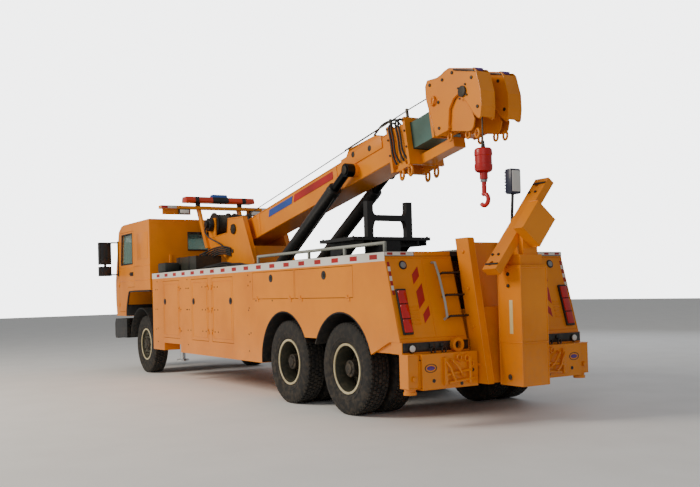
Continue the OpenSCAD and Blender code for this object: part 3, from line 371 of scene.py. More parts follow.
# ---------------------------------------------------------------- shapes
def axes(origin: Point, along: Point, up: Point) -> Matrix:
    """A placing matrix with its X along one direction and its Y as near as it can be to another.

    Args:
        origin: Where the drawing's origin goes.
        along: Direction of the drawing's X.
        up: Direction that the drawing's Y leans to.

    Returns:
        The matrix, with Z out of the drawing's plane.
    """
    first = Vector(along).normalized()
    third = first.cross(Vector(up)).normalized()
    second = third.cross(first)
    turn = Matrix((first, second, third)).transposed().to_4x4()
    return Matrix.Translation(Vector(origin)) @ turn


class Shape:
    """A mesh that simple solids are added to, each made with bmesh operators."""

    def __init__(self) -> None:
        """Starts with nothing."""
        self.bm = bmesh.new()

    def _place(self, verts: Iterable[bmesh.types.BMVert], matrix: Matrix) -> None:
        """Moves new corners to their place."""
        bmesh.ops.transform(self.bm, matrix=matrix, verts=list(verts))

    def _soften(self, edges: Iterable[bmesh.types.BMEdge], width: float) -> None:
        """Bevels edges when width is above zero."""
        if width > 0:
            bmesh.ops.bevel(self.bm, geom=list(edges), offset=width, segments=2, affect="EDGES", profile=0.5,
                            material=-1, clamp_overlap=True)

    def box(self, first: Point, second: Point, soft: float = 0.0, matrix: Matrix | None = None) -> Shape:
        """Adds a box.

        Args:
            first: One corner.
            second: The corner opposite it.
            soft: Width of the bevel on its edges.
            matrix: Places the box, when given.

        Returns:
            This shape.
        """
        low, high = Vector(map(min, first, second)), Vector(map(max, first, second))
        size = high - low
        verts = bmesh.ops.create_cube(self.bm, size=1.0)["verts"]
        self._place(verts, Matrix.Translation((low + high) / 2) @ Matrix.Diagonal((*size, 1.0)))
        edges = {edge for vert in verts for edge in vert.link_edges}
        if matrix:
            self._place(verts, matrix)
        self._soften(edges, soft)
        return self

    def rod(self, start: Point, end: Point, radius: float, end_radius: float | None = None, sides: int = 24,
            soft: float = 0.0) -> Shape:
        """Adds a round or many-sided bar.

        Args:
            start: Middle of its first end.
            end: Middle of its other end.
            radius: Radius at the first end.
            end_radius: Radius at the other end, or None for the same.
            sides: Number of sides.
            soft: Width of the bevel round both ends.

        Returns:
            This shape.
        """
        start, end = Vector(start), Vector(end)
        run = end - start
        made = bmesh.ops.create_cone(self.bm, cap_ends=True, segments=sides, radius1=radius,
                                     radius2=radius if end_radius is None else end_radius, depth=run.length)["verts"]
        turn = run.to_track_quat("Z", "Y").to_matrix().to_4x4()
        self._place(made, Matrix.Translation((start + end) / 2) @ turn)
        caps = {face for vert in made for face in vert.link_faces if len(face.verts) > 4 or sides <= 4}
        self._soften({edge for face in caps for edge in face.edges}, soft)
        return self

    def stud(self, start: Point, run: Point, radius: float, sides: int = 24, soft: float = 0.0) -> Shape:
        """Adds a pin, bolt head or cap that stands on a spot.

        Args:
            start: Middle of its foot.
            run: How far it reaches, as a direction and length in one.
            radius: Its radius.
            sides: Number of sides.
            soft: Width of the bevel round both ends.

        Returns:
            This shape.
        """
        return self.rod(start, Vector(start) + Vector(run), radius, sides=sides, soft=soft)

    def prism(self, outline: Sequence[tuple[float, float]], depth: float, matrix: Matrix, soft: float = 0.0) -> Shape:
        """Adds a flat outline given a thickness.

        Args:
            outline: Corners in the drawing's plane.
            depth: Thickness, out of the drawing's plane.
            matrix: Places the drawing.
            soft: Width of the bevel on its edges.

        Returns:
            This shape.
        """
        verts = [self.bm.verts.new((x, y, 0.0)) for x, y in outline]
        face = self.bm.faces.new(verts)
        grown = bmesh.ops.extrude_face_region(self.bm, geom=[face])["geom"]
        top = [item for item in grown if isinstance(item, bmesh.types.BMVert)]
        bmesh.ops.translate(self.bm, vec=(0.0, 0.0, depth), verts=top)
        self._place(verts + top, matrix)
        self._soften({edge for vert in verts + top for edge in vert.link_edges}, soft)
        return self

    def lathe(self, profile: Sequence[tuple[float, float]], matrix: Matrix, steps: int = 64,
              closed: bool = True) -> list[bmesh.types.BMFace]:
        """Adds a turned shape.

        Args:
            profile: Radius and height pairs, spun round the drawing's Z.
            matrix: Places the shape.
            steps: Number of steps in the full turn.
            closed: Joins the profile's last corner to its first.

        Returns:
            The new faces.
        """
        verts = [self.bm.verts.new((radius, 0.0, height)) for radius, height in profile]
        pairs = list(zip(verts, verts[1:])) + ([(verts[-1], verts[0])] if closed else [])
        edges = [self.bm.edges.new(pair) for pair in pairs]
        known = set(self.bm.faces)
        bmesh.ops.spin(self.bm, geom=verts + edges, cent=(0, 0, 0), axis=(0, 0, 1), angle=math.tau, steps=steps,
                       use_merge=True)
        faces = [face for face in self.bm.faces if face not in known]
        made = {vert for face in faces for vert in face.verts}
        bmesh.ops.remove_doubles(self.bm, verts=list(made), dist=1e-6)
        faces = [face for face in self.bm.faces if face not in known]
        made = {vert for face in faces for vert in face.verts}
        self._place(made, matrix)
        return faces

    def copies(self, cell: Shape, matrices: Iterable[Matrix]) -> Shape:
        """Adds a small shape at many places.

        Args:
            cell: The shape to repeat.
            matrices: One placing for each copy.

        Returns:
            This shape.
        """
        stamp = bpy.data.meshes.new("stamp")
        cell.bm.to_mesh(stamp)
        for matrix in matrices:
            placed = stamp.copy()
            placed.transform(matrix)
            self.bm.from_mesh(placed)
            bpy.data.meshes.remove(placed)
        bpy.data.meshes.remove(stamp)
        return self

    def ring(self, centre: Point, axis: Point, radius: float, thickness: float, steps: int = 36) -> Shape:
        """Adds a round ring of round bar.

        Args:
            centre: Its middle.
            axis: Direction through its hole.
            radius: Radius of the bar's centre line.
            thickness: Radius of the bar.
            steps: Number of steps round the ring.

        Returns:
            This shape.
        """
        bar = [(radius + thickness * math.cos(math.tau * i / 12), thickness * math.sin(math.tau * i / 12))
               for i in range(12)]
        turn = Vector(axis).to_track_quat("Z", "Y").to_matrix().to_4x4()
        self.lathe(bar, Matrix.Translation(Vector(centre)) @ turn, steps)
        return self

    def pipe(self, points: Sequence[Point], radius: float, sides: int = 12, smooth: int = 0) -> Shape:
        """Adds a bent pipe.

        Args:
            points: Its centre line.
            radius: Its radius.
            sides: Number of sides.
            smooth: How many times the bends are cut rounder.

        Returns:
            This shape.
        """
        line = [Vector(point) for point in points]
        for _ in range(smooth):
            cut = [line[0]]
            for a, b in zip(line, line[1:]):
                cut += [a.lerp(b, 0.25), a.lerp(b, 0.75)]
            line = cut + [line[-1]]
        loops: list[list[bmesh.types.BMEdge]] = []
        ahead = (line[1] - line[0]).normalized()
        side = ahead.orthogonal().normalized()
        for i, point in enumerate(line):
            after = line[min(i + 1, len(line) - 1)] - line[max(i - 1, 0)]
            ahead = after.normalized()
            side = (side - ahead * side.dot(ahead)).normalized()
            turn = Matrix((side, ahead.cross(side), ahead)).transposed().to_4x4()
            made = bmesh.ops.create_circle(self.bm, segments=sides, radius=radius,
                                           matrix=Matrix.Translation(point) @ turn)["verts"]
            loops.append(list({edge for vert in made for edge in vert.link_edges}))
        for first, second in zip(loops, loops[1:]):
            bmesh.ops.bridge_loops(self.bm, edges=first + second)
        bmesh.ops.contextual_create(self.bm, geom=loops[0])
        bmesh.ops.contextual_create(self.bm, geom=loops[-1])
        return self

    def ball(self, centre: Point, radius: float, stretch: Point = (1, 1, 1)) -> Shape:
        """Adds a ball or a stretched ball.

        Args:
            centre: Its middle.
            radius: Its radius.
            stretch: How much it is stretched along each axis.

        Returns:
            This shape.
        """
        verts = bmesh.ops.create_uvsphere(self.bm, u_segments=24, v_segments=14, radius=radius)["verts"]
        self._place(verts, Matrix.Translation(Vector(centre)) @ Matrix.Diagonal((*stretch, 1.0)))
        return self


class Workshop:
    """Turns shapes into finished pieces that ride on the frame's bodies."""

    SHARP = math.radians(32)

    @classmethod
    def piece(cls, name: str, shape: Shape, finishes: Finish | Sequence[Finish], body: str,
              replaces: Sequence[str] = ()) -> bpy.types.Object:
        """Makes a piece.

        Args:
            name: The piece's name.
            shape: Its shape, already in place.
            finishes: Its finish, or one for each material number on its faces.
            body: The body that it rides on.
            replaces: CAD nodes that it stands for.

        Returns:
            The new object.
        """
        many = [finishes] if isinstance(finishes, Finish) else list(finishes)
        bm = shape.bm
        bmesh.ops.remove_doubles(bm, verts=list(bm.verts), dist=1e-6)
        bmesh.ops.recalc_face_normals(bm, faces=list(bm.faces))
        for face in bm.faces:
            face.smooth = True
        mesh = bpy.data.meshes.new(name)
        bm.to_mesh(mesh)
        bm.free()
        mesh.set_sharp_from_angle(angle=cls.SHARP)
        for finish in many:
            mesh.materials.append(finish.material())
        made = bpy.data.objects.new(name, mesh)
        bpy.context.scene.collection.objects.link(made)
        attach(made, body)
        if replaces:
            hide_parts(*replaces)
        LOG.info("%s: %d faces on %s", name, len(mesh.polygons), body)
        return made

    @staticmethod
    def dress(frame: dict, finish: Finish, *nodes: str) -> None:
        """Gives CAD nodes a finish.

        Args:
            frame: The loaded frame.
            finish: The finish.
            nodes: Names of the nodes.
        """
        for name in nodes:
            node = frame["nodes"][name]
            for slot in node.material_slots:
                slot.material = finish.material()


SIDES = (("left", 1), ("right", -1))


@dataclass
class Datum:
    """Where the truck stands in the frame."""

    shift: float = field(init=False)

    def __post_init__(self) -> None:
        """Finds the rearmost axle from its wheel."""
        low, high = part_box("rear_wheels_left")
        self.shift = (low[0] + high[0]) / 2

    def at(self, x: float, y: float, z: float) -> Vector:
        """A point given from the rearmost axle.

        Args:
            x: Forward of the rearmost axle.
            y: Left of the middle.
            z: Above the ground.

        Returns:
            The point in the frame.
        """
        return Vector((x + self.shift, y, z))


# ---------------------------------------------------------------- wheels
@dataclass
class Wheel:
    """One wheel, single or twin, with its tyres, rim and hub."""

    datum: Datum
    name: str
    body: str
    centre: Vector
    side: int
    tyre_places: tuple[float, ...]
    replaces: tuple[str, ...]
    disc: float
    hub_reach: float
    radius: float = 0.524
    half_width: float = 0.139
    seat: float = 0.2915
    tread_depth: float = 0.014
    lugs: int = 60
    nuts: int = 10
    nut_circle: float = 0.165

    def place(self, across: float) -> Matrix:
        """Placing of a shape turned round Z, with +Z outwards.

        Args:
            across: How far outwards from the wheel's middle.

        Returns:
            The matrix.
        """
        out = Vector((0, self.side, 0))
        return axes(self.centre + out * across, (1, 0, 0), out.cross(Vector((1, 0, 0))))

    def tyre(self) -> None:
        """The tyres, with tread blocks, shoulder lugs and sidewall rings."""
        base = self.radius - self.tread_depth
        half = self.half_width
        wall = [(self.seat + 0.001, 0.104), (self.seat + 0.012, 0.118), (self.seat + 0.040, 0.130),
                (0.352, 0.134), (0.357, 0.138), (0.364, 0.138), (0.369, 0.135), (0.405, half), (0.440, half - 0.001),
                (0.470, 0.135), (0.492, 0.127), (base - 0.002, 0.114)]
        profile = [(r, -y) for r, y in wall] + [(base, -0.100), (base, 0.100)] + [(r, y) for r, y in reversed(wall)]
        shape = Shape()
        pitch = math.tau * self.radius / self.lugs
        rows = [(-0.097, 0.030, 0.0), (-0.050, 0.040, 0.5), (0.0, 0.042, 0.0), (0.050, 0.040, 0.5),
                (0.097, 0.030, 0.0)]
        for across in self.tyre_places:
            place = self.place(across)
            shape.lathe(profile, place, 72)
            for middle, width, stagger in rows:
                lug = Shape().box((base - 0.006, -0.39 * pitch, middle - width / 2),
                                  (self.radius, 0.39 * pitch, middle + width / 2), 0.003)
                turns = [place @ Matrix.Rotation(math.tau * (i + stagger) / self.lugs, 4, "Z")
                         for i in range(self.lugs)]
                shape.copies(lug, turns)
            for edge in (-1, 1):
                rib = Shape().box((0.478, -0.012, 0.0), (base + 0.004, 0.012, 0.014), 0.002)
                lean = Matrix.Translation((0.495, 0, edge * 0.116)) @ Matrix.Rotation(edge * math.radians(22), 4, "Y") \
                    @ Matrix.Translation((-0.495, 0, -0.007))
                turns = [place @ Matrix.Rotation(math.tau * (i + 0.5) / self.lugs, 4, "Z") @ lean
                         for i in range(self.lugs)]
                shape.copies(rib, turns)
        Workshop.piece(f"{self.name}_tyre", shape, TYRE_RUBBER, self.body, self.replaces[:1])

    def rim(self) -> None:
        """The rim, its dished disc with hand holes, and its lips. Its dish and barrel carry a dark olive that is
        painted shade, and its hand holes are painted black as painted shade.
        """
        shape, lips = Shape(), Shape()
        lip = self.seat - 0.0015
        for across in self.tyre_places:
            barrel = [(lip, -0.118), (lip, 0.118), (lip - 0.006, 0.1185), (lip - 0.012, 0.114), (lip - 0.014, 0.100),
                      (lip - 0.022, 0.080), (lip - 0.022, -0.080), (lip - 0.014, -0.100), (lip - 0.012, -0.114),
                      (lip - 0.006, -0.1185)]
            shape.lathe(barrel, self.place(across), 64)
            ring = [(lip + 0.0006, 0.106), (lip + 0.0006, 0.119), (lip - 0.006, 0.1215), (lip - 0.022, 0.1205),
                    (lip - 0.027, 0.116), (lip - 0.025, 0.106)]
            lips.lathe(ring, self.place(across), 64)
        deep = self.disc
        disc = [(0.269, deep - 0.022), (0.269, deep), (0.262, deep + 0.004), (0.236, deep - 0.001),
                (0.205, deep + 0.007),
                (0.192, deep + 0.018), (0.130, deep + 0.020), (0.126, deep + 0.020), (0.126, deep + 0.004),
                (0.192, deep + 0.003), (0.205, deep - 0.010), (0.236, deep - 0.020)]
        faces = shape.lathe(disc, self.place(0.0), 60)
        out = Vector((0, self.side, 0))
        middle = self.centre
        holes = []
        for face in faces:
            face.normal_update()
            spot = face.calc_center_median() - middle
            radial = (spot - out * spot.dot(out)).length
            turn = (math.degrees(math.atan2(spot.z, spot.x)) + 360) % 36
            if 0.206 < radial < 0.236 and 9 < turn < 27 and abs(face.normal.dot(out)) > 0.6 and spot.dot(out) > deep - 0.006:
                holes.append(face)
        # the hand holes are not cut through: their faces are pushed in and painted black as painted shade for the dark
        # openings
        if holes:
            bmesh.ops.inset_region(shape.bm, faces=holes, thickness=0.003, use_even_offset=True)
            moved = list({vert for face in holes for vert in face.verts})
            bmesh.ops.translate(shape.bm, vec=out * -0.014, verts=moved)
            for face in holes:
                face.material_index = 1
        # dark olive painted shade on the dish and barrel, black painted shade in the pushed-in hand holes
        Workshop.piece(f"{self.name}_rim", shape, (RIM_DISH_PAINTED_SHADE, BLACK_ENAMEL), self.body, self.replaces[1:])
        Workshop.piece(f"{self.name}_rim_lips", lips, RIM_ENAMEL, self.body)

    def hub(self) -> None:
        """The hub with its cap, cap screws and wheel nuts."""
        shape = Shape()
        reach = self.hub_reach
        deep = self.disc + 0.019
        hub = [(0.0, reach), (0.052, reach), (0.060, reach - 0.004), (0.064, reach - 0.016), (0.088, reach - 0.018),
               (0.096, reach - 0.024), (0.102, min(reach - 0.045,
                                                   deep + 0.030)), (0.122, deep + 0.010), (0.1235, deep - 0.05),
               (0.0, deep - 0.05)]
        shape.lathe(hub, self.place(0.0), 40, closed=False)
        nut = Shape().rod((self.nut_circle, 0, deep), (self.nut_circle, 0, deep + 0.022), 0.0165, sides=6, soft=0.002)
        nut.rod((self.nut_circle, 0, deep + 0.02), (self.nut_circle, 0, deep + 0.036), 0.010, sides=10, soft=0.0015)
        shape.copies(nut, [self.place(0.0) @ Matrix.Rotation(math.tau * i / self.nuts, 4,
                                                             "Z") for i in range(self.nuts)])
        screw = Shape().rod((0.076, 0, reach - 0.020), (0.076, 0, reach - 0.010), 0.008, sides=6, soft=0.001)
        shape.copies(screw, [self.place(0.0) @ Matrix.Rotation(math.tau * i / 8, 4, "Z") for i in range(8)])
        Workshop.piece(f"{self.name}_hub", shape, HUB_IRON, self.body)

    def build(self) -> None:
        """All of the wheel."""
        self.tyre()
        self.rim()
        self.hub()


@dataclass
class RunningGear:
    """The wheels, axles, shafts and tanks under the truck."""

    datum: Datum
    frame: dict
    axle_height: float = 0.525
    front_axle: float = 7.225
    mid_axle: float = 1.4

    def wheels(self) -> None:
        """All six wheels."""
        for label, side in SIDES:
            Wheel(self.datum, f"front_wheel_{label}", f"front_wheel_{label}",
                  self.datum.at(self.front_axle, 1.015 * side, self.axle_height), side, (0.0,),
                  (f"front_tyre_{label}", f"front_rim_{label}"), 0.070, 0.132).build()
            for name, x in (("mid", self.mid_axle), ("rear", 0.0)):
                node = f"{name}_wheels_{label}"
                Wheel(self.datum, node, node, self.datum.at(x, 0.915 * side, self.axle_height), side,
                      (0.175, -0.175), (node,), 0.045, 0.272).build()

    def drive(self) -> None:
        """Propeller shafts, axle bowls, brake chambers and air tanks."""
        at = self.datum.at
        shafts = Shape()
        for start, end in (((6.3, 0, 0.80), (1.72, 0, 0.60)), ((1.14, 0, 0.56), (0.26, 0, 0.56))):
            shafts.rod(at(*start), at(*end), 0.055, soft=0.004)
            for spot in (start, end):
                shafts.ball(at(*spot), 0.075, (1.1, 1, 1))
        Workshop.piece("propeller_shafts", shafts, ZINC, "chassis")
        brakes = Shape()
        for x in (0.0, self.mid_axle):
            for _, side in SIDES:
                brakes.rod(at(x + 0.11, 0.30 * side, 0.66), at(x + 0.29, 0.30 * side, 0.70), 0.078, soft=0.012)
                brakes.ring(at(x + 0.20, 0.30 * side, 0.68), (1, 0, 0.22), 0.078, 0.008)
            brakes.rod(at(x - 0.205, 0, 0.525), at(x - 0.225, 0, 0.525), 0.135, 0.10, soft=0.006)
        Workshop.piece("brake_chambers", brakes, FRAME_PAINT, "chassis")
        tanks = Shape()
        for x, y in ((2.6, 0.18), (2.6, -0.18), (4.1, 0.16)):
            tanks.rod(at(x, y, 0.90), at(x + 0.75, y, 0.90), 0.115, soft=0.03)
            for band in (0.15, 0.6):
                tanks.ring(at(x + band, y, 0.90), (1, 0, 0), 0.117, 0.007)
        Workshop.piece("air_tanks", tanks, BLACK_ENAMEL, "chassis")

    def guards(self) -> None:
        """Black mudguard liners over the rear wheels, and guards round the front ones."""
        at = self.datum.at
        for label, side in SIDES:
            liner = Shape()
            for x, first, last in ((0.0, 24, 156), (self.mid_axle, -3, 156)):
                arc = [math.radians(first + (last - first) * i / 20) for i in range(21)]
                outer = [(x + 0.6500 * math.cos(a), self.axle_height + 0.6500 * math.sin(a)) for a in arc]
                inner = [(x + 0.6360 * math.cos(a), self.axle_height + 0.6360 * math.sin(a)) for a in arc]
                liner.prism(outer + inner[::-1], 0.615, axes(at(0, 1.2765 if side > 0 else -0.6615, 0), (1, 0, 0),
                                                             (0, 0, 1)))
            Workshop.piece(f"mudguard_liner_{label}", liner, BLACK_PLASTIC, "chassis")
            guard = Shape()
            arc = [math.radians(8 + 8 * i) for i in range(21)]
            x, reach = self.front_axle, 0.650
            outer = [(x + reach * math.cos(a), 0.55 + reach * math.sin(a)) for a in arc]
            inner = [(x + (reach - 0.014) * math.cos(a), 0.55 + (reach - 0.014) * math.sin(a)) for a in arc]
            guard.prism(outer + inner[::-1], 0.36, axes(at(0, 1.225 if side > 0 else -0.865, 0), (1, 0, 0),
                                                        (0, 0, 1)), 0.003)
            for a in (40, 140):
                a = math.radians(a)
                spot = at(x + 0.64 * math.cos(a), 0.90 * side, 0.55 + 0.64 * math.sin(a))
                guard.rod(spot, Vector((spot.x, 0.40 * side, 0.98)), 0.016, sides=10)
            Workshop.piece(f"front_mudguard_{label}", guard, BLACK_PLASTIC, "chassis")

    def build(self) -> None:
        """All of the running gear."""
        self.wheels()
        self.drive()
        self.guards()
        Workshop.dress(self.frame, FRAME_PAINT, "chassis_frame", "front_axle", "rear_axles", "leaf_springs")
        Workshop.dress(self.frame, HUB_IRON, "knuckle_left", "knuckle_right")
        Workshop.dress(self.frame, CAST_IRON, "engine")


# ---------------------------------------------------------------- cab
@dataclass
class Cab:
    """The cab with its doors, glass, lamps, seats and mirrors."""

    datum: Datum
    frame: dict
    half: float = 1.245
    nose: float = 8.70
    window: tuple[tuple[float, float], ...] = ((8.30, 2.03), (8.23, 2.605), (7.59, 2.605), (7.59, 2.03))

    def doors(self) -> None:
        """Door glass with rubber seals, handles and waist lines."""
        at = self.datum.at
        for label, side in SIDES:
            body = f"cab_door_{label}"
            plane = axes(at(0, (self.half - 0.034) * side, 0), (1, 0, 0), (0, 0, 1))
            glass = Shape().prism(self.window, 0.006, plane)
            Workshop.piece(f"door_glass_{label}", glass, CAB_GLASS, body)
            seal = Shape()
            corners = [at(x, (self.half - 0.006) * side, z) for x, z in self.window]
            seal.pipe(corners + [corners[0]], 0.016, 8)
            Workshop.piece(f"door_seal_{label}", seal, BLACK_PLASTIC, body)
            handle = Shape()
            handle.box(at(7.56, side * self.half, 1.800),
                       at(7.76, side * (self.half + 0.006), 1.875), 0.003)
            handle.pipe([at(7.585, side * (self.half + 0.004), 1.84), at(7.60, side * (self.half + 0.034), 1.84),
                         at(7.72, side * (self.half + 0.034), 1.84), at(7.735, side * (self.half + 0.004), 1.84)], 0.010, 10, 1)
            Workshop.piece(f"door_handle_{label}", handle, BLACK_PLASTIC, body)
            waist = Shape()
            for z in (1.965, 1.70):
                waist.box(at(7.53, side * (self.half - 0.001), z),
                          at(8.42, side * (self.half + 0.005), z + 0.022), 0.003)
            Workshop.piece(f"door_waist_line_{label}", waist, BODY_ENAMEL, body)

    def shell(self) -> None:
        """Arch trim, waist lines, roof visor, grab rails and rear window seal."""
        at = self.datum.at
        trim = Shape()
        for _, side in SIDES:
            run = [(6.62, 1.512), (7.80, 1.512), (7.85, 1.49), (8.005, 1.17), (8.008, 1.05)]
            trim.pipe([at(x, side * (self.half - 0.002), z) for x, z in run], 0.016, 10, 1)
        rear = [(-0.52, 2.24), (0.52, 2.24), (0.52, 2.56), (-0.52, 2.56), (-0.52, 2.24)]
        trim.pipe([at(6.600, y, z) for y, z in rear], 0.014, 8)
        front = [(8.687, -1.13, 1.785), (8.687, 1.13, 1.785), (8.450, 1.13, 2.645), (8.450, -1.13, 2.645),
                 (8.687, -1.13, 1.785)]
        trim.pipe([at(x, y, z) for x, y, z in front], 0.016, 8)
        Workshop.piece("cab_rubber_trim", trim, BLACK_PLASTIC, "cab")
        guard = Shape()
        for _, side in SIDES:
            for z in (1.965, 1.70):
                guard.box(at(6.62, side * (self.half - 0.001), z), at(7.46, side * (self.half + 0.005), z + 0.022),
                          0.003)
            guard.box(at(6.70, side * self.half, 2.10),
                      at(7.30, side * (self.half + 0.004), 2.58), 0.003)
        for y in (-0.85, 0.0, 0.85):
            guard.box(at(6.592, y - 0.03, 1.66), at(6.602, y + 0.03, 2.16), 0.004)
        Workshop.piece("cab_pressings", guard, BODY_ENAMEL, "cab")
        inner = Shape()
        for _, side in SIDES:
            inner.box(at(6.64, 0.70 * side, 1.075), at(7.99, 0.712 * side, 1.514), 0.002)
            inner.box(at(7.976, 0.715 * side, 1.050), at(7.986, 1.240 if side > 0 else -1.180, 1.502), 0.002)
            inner.box(at(6.64, 0.715 * side, 1.502), at(7.78, 1.180 * side, 1.514), 0.002)
        Workshop.piece("cab_arch_panels", inner, BLACK_PLASTIC, "cab")
        visor = Shape()
        place = axes(at(8.42, 1.16, 2.735), (1, 0, -0.42), (0, 0, 1))
        visor.prism([(0, 0), (0.26, -0.02), (0.28, -0.045), (0.26, -0.032), (0, -0.014)], 2.32, place, 0.002)
        Workshop.piece("roof_visor", visor, BLACK_PLASTIC, "cab")

    def nose_panel(self) -> None:
        """Grille, wipers, lamps and bumper details."""
        at = self.datum.at
        grille = Shape()
        grille.box(at(8.699, -0.86, 1.18), at(8.712, 0.86, 1.60), 0.005)
        for i in range(6):
            z = 1.215 + i * 0.066
            grille.box(at(8.706, -0.83, z), at(8.735, 0.83, z + 0.028), 0.006)
        for _, side in SIDES:
            foot = at(8.695, 0.62 * side, 1.70)
            grille.rod(foot, at(8.730, 0.62 * side, 1.71), 0.022)
            grille.pipe([at(8.722, 0.62 * side, 1.71), at(8.712, 0.30 * side, 1.78), at(8.640, 0.02 * side, 2.06)],
                        0.008, 8)
            grille.box(at(8.58, -0.012 + 0.05 * side, 1.86), at(8.60, 0.012 + 0.05 * side, 2.42), 0.004)
        Workshop.piece("grille_and_wipers", grille, BLACK_PLASTIC, "cab")
        corner = Shape()
        for _, side in SIDES:
            corner.box(at(8.695, 0.92 * side, 1.22), at(8.712, 1.20 * side, 1.56), 0.012)
        Workshop.piece("corner_lamps", corner, AMBER_LENS, "cab")
        lamps = Shape()
        for _, side in SIDES:
            lamps.box(at(8.790, 0.72 * side, 0.70), at(8.7995, 1.12 * side, 0.86), 0.004)
        Workshop.piece("head_lamps", lamps, WHITE_LENS, "chassis")
        plate = Shape().box(at(8.794, -0.26, 0.69), at(8.7995, 0.26, 0.80), 0.002)
        Workshop.piece("blank_front_plate", plate, WHITE_ENAMEL, "chassis")

    def mirrors(self) -> None:
        """Mirror glass."""
        at = self.datum.at
        glass = Shape()
        for _, side in SIDES:
            for z0, z1 in ((2.085, 2.475), (1.850, 2.000)):
                glass.box(at(8.614, 1.37 * side, z0), at(8.6205, 1.55 * side, z1), 0.002)
        Workshop.piece("mirror_glass", glass, MIRROR_GLASS, "cab")

    def seats(self) -> None:
        """Seats, dashboard and steering wheel."""
        at = self.datum.at
        middle, half = 0.590, 0.245
        for label, side in SIDES:
            seat = Shape()
            seat.box(at(7.28, (middle - half) * side, 1.66), at(7.755, (middle + half) * side, 1.735), 0.030)
            lean = axes(at(7.30, middle * side, 1.76), (-0.19, 0, 0.98), (0, 1, 0))
            seat.box((0.0, -half, -0.055), (0.60, half, 0.055), 0.035, lean)
            seat.box((0.62, -0.13, -0.045), (0.72, 0.13, 0.045), 0.03, lean)
            piece = Workshop.piece(f"seat_{label}", seat, SEAT_CLOTH, "cab",
                                   ("cab_interior",) if label == "left" else ())
            soften = piece.modifiers.new("crown", "SUBSURF")
            soften.levels = soften.render_levels = 1
        base = Shape()
        for _, side in SIDES:
            base.box(at(7.32, 0.40 * side, 1.581), at(7.70, 0.78 * side, 1.665), 0.01)
        dash = [(8.639, 1.545), (8.639, 1.64), (8.55, 1.755), (8.285, 1.70), (8.282, 1.575), (8.31, 1.545)]
        base.prism(dash, 2.33, axes(at(0, 1.165, 0), (1, 0, 0), (0, 0, 1)), 0.008)
        base.rod(at(8.33, 0.59, 1.66), at(8.16, 0.59, 1.80), 0.03)
        base.ring(at(8.13, 0.59, 1.82), (-0.72, 0, 0.69), 0.21, 0.014)
        for turn in (90, 210, 330):
            a = math.radians(turn)
            hub = at(8.13, 0.59, 1.82)
            spoke = Vector((0.69 * math.sin(a), math.cos(a), 0.72 * math.sin(a))) * 0.205
            base.rod(hub, hub + spoke, 0.010, sides=8)
        Workshop.piece("dashboard_and_wheel", base, TRIM_PLASTIC, "cab")

    def build(self) -> None:
        """All of the cab."""
        Workshop.dress(self.frame, BODY_ENAMEL, "cab_shell", "cab_door_left", "cab_door_right")
        Workshop.dress(self.frame, CAB_GLASS, "cab_glass")
        Workshop.dress(self.frame, BLACK_PLASTIC, "mirrors")
        Workshop.dress(self.frame, BLACK_ENAMEL, "bumper")
        self.doors()
        self.shell()
        self.nose_panel()
        self.mirrors()
        self.seats()


